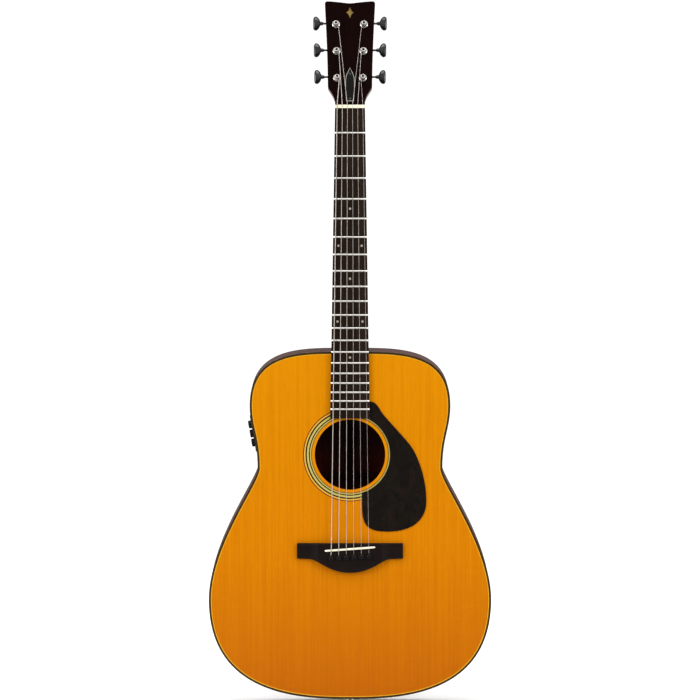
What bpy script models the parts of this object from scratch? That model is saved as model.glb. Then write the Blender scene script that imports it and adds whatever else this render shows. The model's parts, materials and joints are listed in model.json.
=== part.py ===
"""A steel-string acoustic guitar with an endpin jack and a side-mounted preamp.

The guitar stands with its headstock up (+Z), its soundboard towards -Y and its treble side at +X.
x = 0 is the centreline, z = 0 is the outer face of the endpin, and y = 0 is halfway between the
front of the bridge pins and the deepest point of the domed back.

Most pieces are drawn in one of two flat frames, in which a point is (x, up, height):
FACE lies on the soundboard's front and HEAD on the front of the tilted headstock; a height is
positive in front of the surface and negative behind it. ALONG looks from the headstock to the
tail: its points are (x, height in front of the soundboard, -z).
"""

import math

import bmesh
import bpy
from mathutils import Matrix, Vector

MM = 0.001
GAP = 0.3 * MM  # clearance kept between pieces that touch or are glued

# Body outline: drops are measured from the neck end, rises from the tail.
BODY_LENGTH = 512.4 * MM
UPPER_WIDTH = 294.7 * MM
WAIST_WIDTH = 271.5 * MM
LOWER_WIDTH = 415.7 * MM
UPPER_DROP = 79.0 * MM
WAIST_DROP = 171.3 * MM
LOWER_RISE = 147.0 * MM
SHOULDER_FLAT = 66.8 * MM  # handle lengths of the outline's curves
SHOULDER_ROUND = 83.8 * MM
UPPER_ROUND = 34.1 * MM
WAIST_UP = 45.4 * MM
WAIST_DOWN = 21.8 * MM
LOWER_UP = 80.7 * MM
LOWER_DOWN = 145.7 * MM
TAIL_FLAT = 67.0 * MM

# Body box
DEPTH_NECK = 100.0 * MM
DEPTH_TAIL = 118.0 * MM
BACK_RADIUS = 4500.0 * MM
TOP_THICKNESS = 3.0 * MM
BACK_THICKNESS = 2.5 * MM
WALL = 2.5 * MM  # side thickness, and the binding's width
BINDING_HEIGHT = 6.0 * MM
LINING_WIDTH = 6.0 * MM
LINING_HEIGHT = 14.0 * MM
BLOCK_NECK_WIDTH = 66.0 * MM
BLOCK_NECK_LENGTH = 60.0 * MM
BLOCK_TAIL_WIDTH = 70.0 * MM
BLOCK_TAIL_LENGTH = 20.0 * MM

# Bracing
BRACE_WIDTH = 8.0 * MM
BRACE_HEIGHT = 13.0 * MM
X_BELOW_HOLE = 36.0 * MM
X_ARM = 270.0 * MM
UPPER_BRACE_WIDTH = 12.0 * MM
UPPER_ABOVE_HOLE = 28.0 * MM
BACK_BRACE_HEIGHT = 14.0 * MM
BACK_BRACE_LIFT = 0.1 * MM  # braces stop this short of the strip's glue face
BACK_STRIP_WIDTH = 16.0 * MM
BACK_STRIP_HEIGHT = 2.5 * MM
BACK_BRACE_DROPS = (90.0 * MM, 190.0 * MM)
BACK_BRACE_RISES = (220.0 * MM, 105.0 * MM)

# Strings, fingerboard and frets
SCALE_LENGTH = 645.0 * MM
BODY_JOIN_FRET = 14
FRETS = 20
NUT_WIDTH = 44.0 * MM
JOIN_WIDTH = 55.0 * MM
NUT_LENGTH = 4.8 * MM
NUT_HEIGHT = 8.2 * MM
BOARD_THICKNESS = 6.0 * MM
BOARD_RADIUS = 400.0 * MM
BOARD_TAIL = 13.6 * MM  # board beyond the last fret
FRET_WIDTH = 2.4 * MM
FRET_HEIGHT = 1.1 * MM
STRING_RADII = (0.673 * MM, 0.533 * MM, 0.406 * MM, 0.305 * MM, 0.203 * MM, 0.152 * MM)
NUT_SPACING = 7.5 * MM
SADDLE_SPACING = 11.0 * MM
NUT_STRING_FLOOR = 7.7 * MM  # underside of a string at the nut, on the centreline
SADDLE_STRING_FLOOR = 10.9 * MM

# Soundhole, rosette and pickguard
HOLE_RADIUS = 51.8 * MM
HOLE_MARGIN = 1.9 * MM  # soundboard left between the board's end and the hole
ROSETTE_INNER = HOLE_RADIUS + 4.1 * MM
ROSETTE_OUTER = ROSETTE_INNER + 13.1 * MM
ROSETTE_DEPTH = 1.2 * MM
GUARD_RADIUS = HOLE_RADIUS + 7.2 * MM
GUARD_THICKNESS = 1.0 * MM

# Bridge, saddle and pins
BRIDGE_HALF = 78.0 * MM
BRIDGE_WING = 22.9 * MM
BRIDGE_BELLY = 20.6 * MM
BELLY_HALF = 61.0 * MM
WING_SLOPE = 0.5 * MM  # fall of the wing's lower edge towards the belly
BRIDGE_THICKNESS = 8.0 * MM
WING_THICKNESS = 4.8 * MM
WING_SHOULDER = 47.0 * MM
WING_FOOT = 62.0 * MM
BRIDGE_ABOVE_SADDLE = 8.4 * MM
COMPENSATION = 2.7 * MM
SADDLE_LENGTH = 75.8 * MM
SADDLE_WIDTH = 3.0 * MM
SADDLE_SINK = 5.0 * MM
SADDLE_SLANT = math.radians(4.2)
PIN_SLANT = math.radians(2.8)
PIN_SPACING = 11.2 * MM
PIN_SETBACK = 12.2 * MM
PIN_SHAFT = 2.6 * MM
PIN_HEAD = 3.7 * MM
PIN_STAND = 4.2 * MM  # pin height over the bridge
PIN_NECK = 1.9 * MM
PIN_DEPTH = 17.0 * MM
STRING_SINK = 15.0 * MM  # string end below the bridge's front, under the soundboard

# Neck and headstock
NECK_DEPTH_NUT = 14.8 * MM
NECK_DEPTH_HEEL = 17.0 * MM
HEEL_DEPTH = 97.0 * MM
HEEL_LENGTH = 62.0 * MM
HEEL_CAP_LENGTH = 17.0 * MM
HEEL_CAP_WIDTH = 22.0 * MM
TENON_WIDTH = 22.0 * MM
TENON_LENGTH = 16.0 * MM
TENON_DEPTH = 76.0 * MM
HEAD_TILT = math.radians(14.0)
HEAD_DROP = 1.5 * MM  # headstock front behind the fingerboard's glue plane, at the nut
HEAD_LENGTH = 155.6 * MM
HEAD_WIDTH = 73.8 * MM
HEAD_SHOULDER = 25.5 * MM
HEAD_SHOULDER_WIDTH = 63.8 * MM
HEAD_DIP = 3.1 * MM
HEAD_THICKNESS = 16.5 * MM
OVERLAY_THICKNESS = 1.5 * MM
ROD_RADIUS = 2.8 * MM
ROD_HEIGHT = -3.7 * MM
ROD_ACCESS = 2.0 * MM
COVER_START = 4.0 * MM
COVER_LENGTH = 53.0 * MM
COVER_WIDTH = 15.4 * MM

# Tuners: a single-start worm on each key turns a gear on each string post.
POST_ROWS = (40.3 * MM, 80.6 * MM, 120.9 * MM)
POST_SPREADS = (18.8 * MM, 19.6 * MM, 20.5 * MM)
POST_RADIUS = 3.0 * MM
POST_WAIST = 2.6 * MM
POST_TOP = 12.0 * MM
WRAP_HEIGHT = 5.5 * MM
GEAR_TEETH = 15
GEAR_MODULE = 0.55 * MM
GEAR_THICKNESS = 3.0 * MM
WORM_RADIUS = 1.875 * MM
TOOTH_REACH = 0.5 * MM
TOOTH_ROOT = 0.725 * MM
TOOTH_TIP_HALF = 0.13 * MM
TOOTH_ROOT_HALF = 0.57 * MM
WORM_HALF = 4.3 * MM
KEY_SIDES = 10
ROUND = 40  # sides of the soundhole and of its rings
KEY_SHAFT = 1.5 * MM
BASE_THICKNESS = 1.2 * MM
BASE_WIDTH = 16.0 * MM
EAR_INNER = 5.0 * MM
EAR_THICKNESS = 2.0 * MM
EAR_HALF = 3.4 * MM
KEY_REACH = 33.8 * MM
BUTTON_HEIGHT = 21.4 * MM
BUTTON_THICKNESS = 7.2 * MM
BUTTON_LENGTH = 13.5 * MM

# Preamp in the bass side, and endpin jack
PREAMP_DROP = 122.9 * MM
PREAMP_DEPTH = 45.0 * MM
PANEL_LENGTH = 54.0 * MM
PANEL_WIDTH = 26.0 * MM
PANEL_THICKNESS = 1.2 * MM
HOUSING_LENGTH = 46.0 * MM
HOUSING_WIDTH = 20.0 * MM
HOUSING_DEPTH = 28.0 * MM
KNOB_PITCH = 13.6 * MM
KNOB_RADIUS = 6.0 * MM
KNOB_HEIGHT = 4.2 * MM
KNOB_SHAFT = 1.5 * MM
ENDPIN_REACH = 12.0 * MM
ENDPIN_BARREL = 5.2 * MM
ENDPIN_FLANGE = 8.0 * MM
ENDPIN_BUTTON = 7.0 * MM
ENDPIN_BORE = 3.3 * MM
ENDPIN_DEPTH = 57.0 * MM

# Places that follow from the sizes
TAIL = ENDPIN_REACH
TOP = TAIL + BODY_LENGTH
FRONT_PROUD = GAP + BRIDGE_THICKNESS + PIN_STAND


def fret_distance(number):
    """Distance of a fret from the nut, for equal temperament."""
    return SCALE_LENGTH * (1 - 2 ** (-number / 12))


JOIN_DISTANCE = fret_distance(BODY_JOIN_FRET)
NUT = TOP + JOIN_DISTANCE
HEAD_START = NUT + NUT_LENGTH
BOARD_END = NUT - fret_distance(FRETS) - BOARD_TAIL
HOLE = BOARD_END - HOLE_MARGIN - HOLE_RADIUS
CROSSING = HOLE - HOLE_RADIUS - X_BELOW_HOLE
SADDLE = NUT - SCALE_LENGTH - COMPENSATION
PINS = SADDLE - PIN_SETBACK
BOARD_BOTTOM = GAP
BOARD_FRONT = GAP + BOARD_THICKNESS
BRIDGE_FRONT = GAP + BRIDGE_THICKNESS
LINING_INSET = WALL + GAP
INNER_INSET = LINING_INSET + LINING_WIDTH + GAP
WORM_OFFSET = GEAR_TEETH * GEAR_MODULE / 2 + WORM_RADIUS
WORM_PITCH = math.pi * GEAR_MODULE
WORM_LEAD = math.atan(WORM_PITCH / (2 * math.pi * WORM_RADIUS))
WORM_HEIGHT = -(HEAD_THICKNESS + GAP + BASE_THICKNESS + GAP + WORM_RADIUS + TOOTH_REACH + 0.1 * MM)


def back_depth(x, up):
    """Depth of the domed back behind the soundboard's front, at a point of the outline's plane."""
    along = (up - TAIL) / BODY_LENGTH
    slope = DEPTH_TAIL + (DEPTH_NECK - DEPTH_TAIL) * along
    half = BODY_LENGTH / 2
    dome = (half**2 - (up - TAIL - half) ** 2 - x**2) / (2 * BACK_RADIUS)
    return slope + dome


BACK_PEAK = TAIL + BODY_LENGTH / 2 - BACK_RADIUS * (DEPTH_TAIL - DEPTH_NECK) / BODY_LENGTH
FRONT_Y = (FRONT_PROUD - back_depth(0, BACK_PEAK)) / 2


def frame_matrix(origin, across, up, out):
    """A frame from its origin and its three axes."""
    columns = Matrix((across, up, out)).transposed().to_4x4()
    return Matrix.Translation(origin) @ columns


FACE = frame_matrix((0, FRONT_Y, 0), (1, 0, 0), (0, 0, 1), (0, -1, 0))
ALONG = frame_matrix((0, FRONT_Y, 0), (1, 0, 0), (0, -1, 0), (0, 0, -1))
HEAD = frame_matrix(
    (0, FRONT_Y - HEAD_DROP, HEAD_START),
    (1, 0, 0),
    (0, math.sin(HEAD_TILT), math.cos(HEAD_TILT)),
    (0, -math.cos(HEAD_TILT), math.sin(HEAD_TILT)),
)


# Collections, materials and the shapes that everything is made from


def start_scene():
    """An empty scene with one collection for the guitar and one for the cutters."""
    for stray in list(bpy.data.objects):
        bpy.data.objects.remove(stray, do_unlink=True)
    guitar = bpy.data.collections.new("acoustic_guitar")
    cutters = bpy.data.collections.new("cutters")
    bpy.context.scene.collection.children.link(guitar)
    bpy.context.scene.collection.children.link(cutters)
    return guitar, cutters


GUITAR, CUTTERS = start_scene()


def add(name, data, place=None):
    """A new object of the guitar."""
    item = bpy.data.objects.new(name, data)
    GUITAR.objects.link(item)
    if place is not None:
        item.matrix_world = place
    return item


def paint(item, colour, metallic=0.0, roughness=0.4):
    """Gives a piece its own material."""
    material = bpy.data.materials.new(item.name)
    material.use_nodes = True
    shader = material.node_tree.nodes["Principled BSDF"]
    shader.inputs["Base Color"].default_value = (*colour, 1.0)
    shader.inputs["Metallic"].default_value = metallic
    shader.inputs["Roughness"].default_value = roughness
    item.data.materials.clear()
    item.data.materials.append(material)
    return item


def solid(name, shape, frame, moving=False):
    """An object from a bmesh; a moving piece keeps its origin at the frame's origin."""
    bmesh.ops.remove_doubles(shape, verts=shape.verts, dist=0.001 * MM)
    bmesh.ops.recalc_face_normals(shape, faces=shape.faces)
    mesh = bpy.data.meshes.new(name)
    shape.to_mesh(mesh)
    shape.free()
    if moving:
        return add(name, mesh, frame)
    mesh.transform(frame)
    return add(name, mesh)


def mesh_of(item):
    """A curve's mesh, welded, in its object's own space; the curve is removed."""
    bpy.context.view_layer.update()
    seen = item.evaluated_get(bpy.context.evaluated_depsgraph_get())
    mesh = bpy.data.meshes.new_from_object(seen)
    bpy.data.objects.remove(item, do_unlink=True)
    shape = bmesh.new()
    shape.from_mesh(mesh)
    bpy.data.meshes.remove(mesh)
    return shape


def plate(name, loops, low, high, frame=FACE):
    """A flat outline with its holes, filled between two heights of a frame."""
    curve = bpy.data.curves.new(name, "CURVE")
    curve.dimensions = "2D"
    curve.fill_mode = "BOTH"
    curve.extrude = (high - low) / 2
    for loop in loops:
        spline = curve.splines.new("POLY")
        spline.points.add(len(loop) - 1)
        for point, place in zip(spline.points, loop):
            point.co = (place[0], place[1], 0, 1)
        spline.use_cyclic_u = True
    shape = mesh_of(add(name, curve))
    middle = Matrix.Translation((0, 0, (low + high) / 2))
    return solid(name, shape, frame @ middle)


def loft(name, rings, frame=FACE, moving=False):
    """A closed skin through rings of equal length, capped at both ends."""
    shape = bmesh.new()
    rows = [[shape.verts.new(point) for point in ring] for ring in rings]
    for row, following in zip(rows, rows[1:]):
        for i in range(len(row)):
            j = (i + 1) % len(row)
            shape.faces.new((row[i], row[j], following[j], following[i]))
    shape.faces.new(list(reversed(rows[0])))
    shape.faces.new(rows[-1])
    return solid(name, shape, frame, moving)


def lathe(name, profile, place, steps):
    """A turned solid; its profile of (radius, height) runs from the top of the axis to the bottom."""
    mesh = bpy.data.meshes.new(name)
    points = [(radius, 0, height) for radius, height in profile]
    mesh.from_pydata(points, [(i, i + 1) for i in range(len(points) - 1)], [])
    item = add(name, mesh, place)
    turn = item.modifiers.new("Turn", "SCREW")
    turn.steps = steps
    turn.render_steps = steps
    turn.use_merge_vertices = True
    turn.merge_threshold = 0.01 * MM
    return item


def box(name, low, high, frame=FACE):
    """A block between two corners of a frame."""
    shape = bmesh.new()
    size = Vector(high) - Vector(low)
    middle = (Vector(high) + Vector(low)) / 2
    place = Matrix.Translation(middle) @ Matrix.Diagonal((*size, 1.0))
    bmesh.ops.create_cube(shape, size=1.0, matrix=place)
    return solid(name, shape, frame)


def pegs(name, radii, places, low, high, frame=FACE, sides=12):
    """Upright cylinders at several places of a frame, each with its own radius."""
    shape = bmesh.new()
    for radius, (x, up) in zip(radii, places):
        bmesh.ops.create_cone(
            shape,
            cap_ends=True,
            segments=sides,
            radius1=radius,
            radius2=radius,
            depth=high - low,
            matrix=Matrix.Translation((x, up, (low + high) / 2)),
        )
    return solid(name, shape, frame)


def tube(name, path, radius, frame=FACE):
    """A round wire along a list of points, with closed ends."""
    curve = bpy.data.curves.new(name, "CURVE")
    curve.dimensions = "3D"
    curve.bevel_depth = radius
    curve.bevel_resolution = 1
    curve.use_fill_caps = True
    spline = curve.splines.new("POLY")
    spline.points.add(len(path) - 1)
    for point, place in zip(spline.points, path):
        point.co = (*(frame @ Vector(place)), 1)
    return add(name, curve)


def as_tool(item):
    """Moves a solid to the cutters."""
    if item.name in GUITAR.objects:
        GUITAR.objects.unlink(item)
        CUTTERS.objects.link(item)
    item.hide_render = True
    item.display_type = "WIRE"
    return item


def boolean(target, tool, operation):
    """Combines a piece with a tool, which is left among the cutters."""
    modifier = target.modifiers.new(operation.title(), "BOOLEAN")
    modifier.object = as_tool(tool)
    modifier.operation = operation
    modifier.solver = "EXACT"
    return target


def cut(target, tool):
    return boolean(target, tool, "DIFFERENCE")


def keep(target, tool):
    return boolean(target, tool, "INTERSECT")


def join(target, tool):
    return boolean(target, tool, "UNION")


def circle(radius, centre, sides):
    """Points of a circle in a frame's plane."""
    turns = [2 * math.pi * i / sides for i in range(sides)]
    return [(centre[0] + radius * math.cos(a), centre[1] + radius * math.sin(a)) for a in turns]


def bezier(start, start_handle, end_handle, end, steps):
    """Points along a cubic curve, from its start to just before its end."""
    corners = [Vector(p) for p in (start, start_handle, end_handle, end)]
    points = []
    for i in range(steps):
        t = i / steps
        s = 1 - t
        weights = (s**3, 3 * s * s * t, 3 * s * t * t, t**3)
        point = sum((c * w for c, w in zip(corners, weights)), Vector((0, 0)))
        points.append((point.x, point.y))
    return points


def mirrored(half):
    """A closed loop from its right half; points on the centreline are kept once."""
    return half + [(-x, up) for x, up in reversed(half) if x > 0]


def bar_loop(start, end, width):
    """A straight bar's outline between two points."""
    along = (Vector(end) - Vector(start)).normalized()
    side = Vector((along.y, -along.x)) * width / 2
    a, b = Vector(start), Vector(end)
    return [tuple(a + side), tuple(b + side), tuple(b - side), tuple(a - side)]


# Body outline


def half_outline():
    """The body's right half, from the neck end round to the tail."""
    top = (0, TOP)
    upper = (UPPER_WIDTH / 2, TOP - UPPER_DROP)
    waist = (WAIST_WIDTH / 2, TOP - WAIST_DROP)
    lower = (LOWER_WIDTH / 2, TAIL + LOWER_RISE)
    tail = (0, TAIL)
    curves = (
        (top, (SHOULDER_FLAT, 0), (0, SHOULDER_ROUND), upper, 9),
        (upper, (0, -UPPER_ROUND), (0, WAIST_UP), waist, 5),
        (waist, (0, -WAIST_DOWN), (0, LOWER_UP), lower, 7),
        (lower, (0, -LOWER_DOWN), (TAIL_FLAT, 0), tail, 11),
    )
    points = []
    for start, leave, arrive, end, steps in curves:
        first = Vector(start) + Vector(leave)
        second = Vector(end) + Vector(arrive)
        points += bezier(start, first, second, end, steps)
    return points + [tail]


HALF = half_outline()


def inset_half(distance):
    """The half outline moved inwards by a distance."""
    points = [Vector(p) for p in HALF]
    moved = []
    for i, point in enumerate(points):
        before = (point - points[i - 1]).normalized() if i > 0 else Vector((1, 0))
        after = (points[i + 1] - point).normalized() if i + 1 < len(points) else Vector((-1, 0))
        inward = Vector((before.y + after.y, -before.x - after.x)).normalized()
        reach = distance / inward.dot(Vector((after.y, -after.x)))
        moved.append((point.x + inward.x * reach, point.y + inward.y * reach))
    moved[0] = (0, moved[0][1])
    moved[-1] = (0, moved[-1][1])
    return moved


def outline(distance):
    """The closed outline moved inwards by a distance."""
    return mirrored(inset_half(distance))


def half_band(outer, inner, side):
    """The strip between two insets on one side, stopping short of the centreline."""
    strip = inset_half(outer) + inset_half(inner)[::-1]
    return [(side * max(x, GAP / 2), up) for x, up in strip]


def dome(name, near, far):
    """A layer of the domed back: the back's outer face lies at 0, and inside is negative."""
    across = LOWER_WIDTH / 2 + 10 * MM
    columns = 6
    rows = 8
    xs = [across * (2 * i / columns - 1) for i in range(columns + 1)]
    rings = []
    for j in range(rows + 1):
        up = TAIL - 10 * MM + (BODY_LENGTH + 20 * MM) * j / rows
        front = [(x, up, -back_depth(x, up) - near) for x in xs]
        rear = [(x, up, -back_depth(x, up) - far) for x in reversed(xs)]
        rings.append(front + rear)
    return loft(name, rings)


BEHIND_ALL = abs(DEPTH_TAIL - DEPTH_NECK) + 40 * MM
DEEPEST = -(max(DEPTH_NECK, DEPTH_TAIL) + 20 * MM)
TO_BINDING = as_tool(dome("room_back_binding", -BINDING_HEIGHT - GAP, BEHIND_ALL))
TO_BACK = as_tool(dome("room_back_plate", -BACK_THICKNESS - GAP, BEHIND_ALL))


# Pieces of the body

SPRUCE = (0.76, 0.27, 0.01)
MAHOGANY = (0.11, 0.035, 0.03)
PALE_WOOD = (0.55, 0.36, 0.18)
DARK_WOOD = (0.012, 0.007, 0.006)
BLACK = (0.006, 0.005, 0.005)
IVORY = (0.85, 0.80, 0.62)
STEEL = (0.55, 0.53, 0.50)


def pin_places():
    """Centres of the bridge pins, from the lowest string to the highest."""
    places = []
    for i in range(6):
        x = (i - 2.5) * PIN_SPACING
        places.append((x, PINS + x * math.tan(PIN_SLANT)))
    return places


PIN_HOLES = as_tool(
    pegs("room_bridge_pins", [PIN_SHAFT + GAP] * 6, pin_places(), -25 * MM, 20 * MM)
)
ENDPIN_HOLE = as_tool(
    pegs(
        "room_endpin",
        [ENDPIN_BARREL + GAP],
        [(0, -ENDPIN_DEPTH)],
        -TAIL - 60 * MM,
        -TAIL + 5 * MM,
        ALONG,
    )
)
MORTISE = as_tool(
    box(
        "room_tenon",
        (-TENON_WIDTH / 2 - GAP, TOP - TENON_LENGTH - GAP, -TENON_DEPTH - GAP),
        (TENON_WIDTH / 2 + GAP, TOP + 5 * MM, -BINDING_HEIGHT),
    )
)


def make_soundboard():
    """The top, with its soundhole, its rosette channel and the pin holes."""
    centre = (0, HOLE)
    loops = [outline(LINING_INSET), circle(HOLE_RADIUS, centre, ROUND)]
    board = plate("soundboard", loops, -TOP_THICKNESS, 0)
    ring = [circle(ROSETTE_OUTER + GAP, centre, ROUND), circle(ROSETTE_INNER - GAP, centre, ROUND)]
    cut(board, plate("room_rosette", ring, -ROSETTE_DEPTH - GAP, 1 * MM))
    cut(board, PIN_HOLES)
    cut(board, STRING_ENDS)
    paint(board, SPRUCE, roughness=0.25)


def make_rosette():
    """The inlaid ring round the soundhole."""
    centre = (0, HOLE)
    ring = [circle(ROSETTE_OUTER, centre, ROUND), circle(ROSETTE_INNER, centre, ROUND)]
    paint(plate("rosette", ring, -ROSETTE_DEPTH, 0), (0.30, 0.16, 0.03))


def make_back():
    """The domed back plate."""
    back = plate("back_plate", [outline(LINING_INSET)], DEEPEST, -DEPTH_NECK / 2)
    keep(back, dome("layer_back_plate", -BACK_THICKNESS, 0))
    paint(back, MAHOGANY, roughness=0.25)


def make_sides():
    """The two bent sides, between the bindings."""
    for name, side in (("side_bass", -1), ("side_treble", 1)):
        shell = plate(name, [half_band(0, WALL, side)], DEEPEST, -BINDING_HEIGHT - GAP)
        cut(shell, TO_BINDING)
        cut(shell, MORTISE)
        cut(shell, ENDPIN_HOLE)
        if side < 0:
            cut(shell, PREAMP_ROOM)
        paint(shell, MAHOGANY, roughness=0.25)


def make_bindings():
    """The strips that close the corners between the plates and the sides."""
    loops = [outline(0), outline(WALL)]
    paint(plate("top_binding", loops, -BINDING_HEIGHT, 0), DARK_WOOD)
    back = plate("back_binding", loops, DEEPEST, -DEPTH_NECK / 2)
    keep(back, dome("layer_back_binding", -BINDING_HEIGHT, 0))
    paint(back, DARK_WOOD)


def make_blocks():
    """The neck block with its mortise, and the tail block with the endpin's hole."""
    start = -TOP_THICKNESS - GAP
    inside = [outline(LINING_INSET)]
    neck = plate("neck_block", inside, DEEPEST, start)
    half = BLOCK_NECK_WIDTH / 2
    low = (-half, TOP - LINING_INSET - BLOCK_NECK_LENGTH, 2 * DEEPEST)
    keep(neck, box("room_neck_block", low, (half, TOP + 5 * MM, 5 * MM)))
    cut(neck, TO_BACK)
    cut(neck, MORTISE)
    paint(neck, PALE_WOOD)
    tail = plate("tail_block", inside, DEEPEST, start)
    half = BLOCK_TAIL_WIDTH / 2
    high = (half, TAIL + LINING_INSET + BLOCK_TAIL_LENGTH, 5 * MM)
    keep(tail, box("room_tail_block", (-half, TAIL - 5 * MM, 2 * DEEPEST), high))
    cut(tail, TO_BACK)
    cut(tail, ENDPIN_HOLE)
    paint(tail, PALE_WOOD)


def make_linings():
    """The glue strips along both edges of each side, between the two blocks."""
    half = BLOCK_NECK_WIDTH / 2 + GAP
    neck_room = box("past_neck_block", (-half, TOP - BODY_LENGTH / 2, 2 * DEEPEST), (half, TOP, 0))
    half = BLOCK_TAIL_WIDTH / 2 + GAP
    tail_room = box("past_tail_block", (-half, TAIL, 2 * DEEPEST), (half, TOP - BODY_LENGTH / 2, 0))
    layer = dome("layer_back_lining", -BACK_THICKNESS - GAP - LINING_HEIGHT, -BACK_THICKNESS - GAP)
    front = -TOP_THICKNESS - GAP
    for suffix, side in (("bass", -1), ("treble", 1)):
        strip = [half_band(LINING_INSET, LINING_INSET + LINING_WIDTH, side)]
        top = plate("top_lining_" + suffix, strip, front - LINING_HEIGHT, front)
        back = plate("back_lining_" + suffix, strip, DEEPEST, -DEPTH_NECK / 2)
        keep(back, layer)
        for lining in (top, back):
            cut(lining, neck_room)
            cut(lining, tail_room)
            paint(lining, PALE_WOOD)


def make_top_braces():
    """The X brace with its tone bars and bridge plate, and the transverse brace above."""
    front = -TOP_THICKNESS - GAP
    inside = plate("room_inside", [outline(INNER_INSET)], DEEPEST, 5 * MM)
    reach = X_ARM * math.sqrt(0.5)
    arms = []
    for side in (-1, 1):
        start = (-side * reach, CROSSING + reach)
        end = (side * reach, CROSSING - reach)
        arms.append(bar_loop(start, end, BRACE_WIDTH))
    brace = plate("x_brace", [arms[0]], front - BRACE_HEIGHT, front)
    join(brace, plate("x_arm", [arms[1]], front - BRACE_HEIGHT - 0.5 * MM, front))
    bars = (((-85, -85), (65, -150)), ((-120, -120), (10, -185)))
    for i, (start, end) in enumerate(bars):
        a = (start[0] * MM, CROSSING + start[1] * MM)
        b = (end[0] * MM, CROSSING + end[1] * MM)
        loop = bar_loop(a, b, BRACE_WIDTH * 0.9)
        join(brace, plate(f"tone_bar_{i + 1}", [loop], front - BRACE_HEIGHT * 0.7, front))
    low = (-60 * MM, PINS - 17 * MM, front - 2.6 * MM)
    join(brace, box("bridge_plate", low, (60 * MM, PINS + 14 * MM, front)))
    keep(brace, inside)
    cut(brace, PIN_HOLES)
    cut(brace, STRING_ENDS)
    paint(brace, PALE_WOOD)
    up = HOLE + HOLE_RADIUS + UPPER_ABOVE_HOLE
    low = (-UPPER_WIDTH, up - UPPER_BRACE_WIDTH / 2, front - BRACE_HEIGHT - 2 * MM)
    upper = box("upper_brace", low, (UPPER_WIDTH, up + UPPER_BRACE_WIDTH / 2, front))
    keep(upper, inside)
    paint(upper, PALE_WOOD)


def make_back_braces():
    """Four ladder braces joined by the strip along the back's seam."""
    edge = -BACK_THICKNESS - GAP
    low_end = TAIL + LINING_INSET + BLOCK_TAIL_LENGTH + GAP
    high_end = TOP - LINING_INSET - BLOCK_NECK_LENGTH - GAP
    half = BACK_STRIP_WIDTH / 2
    strip = box("back_bracing", (-half, low_end, DEEPEST), (half, high_end, -DEPTH_NECK / 2))
    keep(strip, dome("layer_back_strip", edge - BACK_STRIP_HEIGHT, edge))
    ups = [TOP - drop for drop in BACK_BRACE_DROPS] + [TAIL + rise for rise in BACK_BRACE_RISES]
    layer = dome("layer_back_braces", edge - BACK_BRACE_HEIGHT, edge - BACK_BRACE_LIFT)
    inside = plate("room_inside_back", [outline(INNER_INSET)], DEEPEST, 0)
    for i, up in enumerate(ups):
        low = (-LOWER_WIDTH, up - BRACE_WIDTH / 2, DEEPEST)
        bar = box(f"back_brace_{i + 1}", low, (LOWER_WIDTH, up + BRACE_WIDTH / 2, -DEPTH_NECK / 2))
        keep(bar, layer)
        keep(bar, inside)
        join(strip, bar)
    paint(strip, PALE_WOOD)


# Preamp in the bass side


def side_at(up):
    """Where the bass side's outer face lies at a height between the waist and the shoulder."""
    for above, below in zip(HALF, HALF[1:]):
        if below[1] <= up <= above[1]:
            share = (up - below[1]) / (above[1] - below[1])
            x = below[0] + (above[0] - below[0]) * share
            return Vector((-x, FRONT_Y + PREAMP_DEPTH, up))
    return Vector((-UPPER_WIDTH / 2, FRONT_Y + PREAMP_DEPTH, up))


def preamp_frame():
    """The panel's frame: up along the side, across towards the front, out of the side."""
    up = TOP - PREAMP_DROP
    low = side_at(up - PANEL_LENGTH / 2)
    high = side_at(up + PANEL_LENGTH / 2)
    along = (high - low).normalized()
    out = Vector((-along.z, 0, along.x))
    return frame_matrix((low + high) / 2, along.cross(out), along, out)


PREAMP = preamp_frame()


def panel_lift():
    """How far the panel stands off so that all of it clears the bent side."""
    inverse = PREAMP.inverted()
    centre = TOP - PREAMP_DROP
    reach = PANEL_LENGTH / 2 + 1 * MM
    ups = [up for x, up in HALF if abs(up - centre) < reach]
    return max((inverse @ side_at(up)).z for up in ups + [centre - reach, centre + reach]) + GAP


PANEL_LOW = panel_lift()
PREAMP_ROOM = as_tool(
    box(
        "room_preamp",
        (-HOUSING_WIDTH / 2 - GAP, -HOUSING_LENGTH / 2 - GAP, -30 * MM),
        (HOUSING_WIDTH / 2 + GAP, HOUSING_LENGTH / 2 + GAP, 20 * MM),
        PREAMP,
    )
)


def make_preamp():
    """The panel and housing, and the three knobs that turn in it."""
    half_width = PANEL_WIDTH / 2
    half_length = PANEL_LENGTH / 2
    low = (-half_width, -half_length, PANEL_LOW)
    high = (half_width, half_length, PANEL_LOW + PANEL_THICKNESS)
    panel = box("preamp", low, high, PREAMP)
    low = (-HOUSING_WIDTH / 2, -HOUSING_LENGTH / 2, -HOUSING_DEPTH)
    high = (HOUSING_WIDTH / 2, HOUSING_LENGTH / 2, PANEL_LOW + PANEL_THICKNESS / 2)
    join(panel, box("preamp_housing", low, high, PREAMP))
    places = [(0, (i - 1) * KNOB_PITCH) for i in range(3)]
    bores = [KNOB_SHAFT + GAP] * 3
    floor = PANEL_LOW - 6 * MM
    cut(panel, pegs("room_knob_shafts", bores, places, floor, 10 * MM, PREAMP, 12))
    paint(panel, BLACK)
    surface = PANEL_LOW + PANEL_THICKNESS + GAP
    for i, (x, up) in enumerate(places):
        place = PREAMP @ Matrix.Translation((x, up, surface))
        profile = [
            (0, KNOB_HEIGHT),
            (KNOB_RADIUS - 0.8 * MM, KNOB_HEIGHT),
            (KNOB_RADIUS - 0.2 * MM, KNOB_HEIGHT - 0.6 * MM),
            (KNOB_RADIUS, 0),
            (KNOB_SHAFT, 0),
            (KNOB_SHAFT, -5 * MM),
            (0, -5 * MM),
        ]
        paint(lathe(f"preamp_knob_{i + 1}", profile, place, 16), BLACK)


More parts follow.
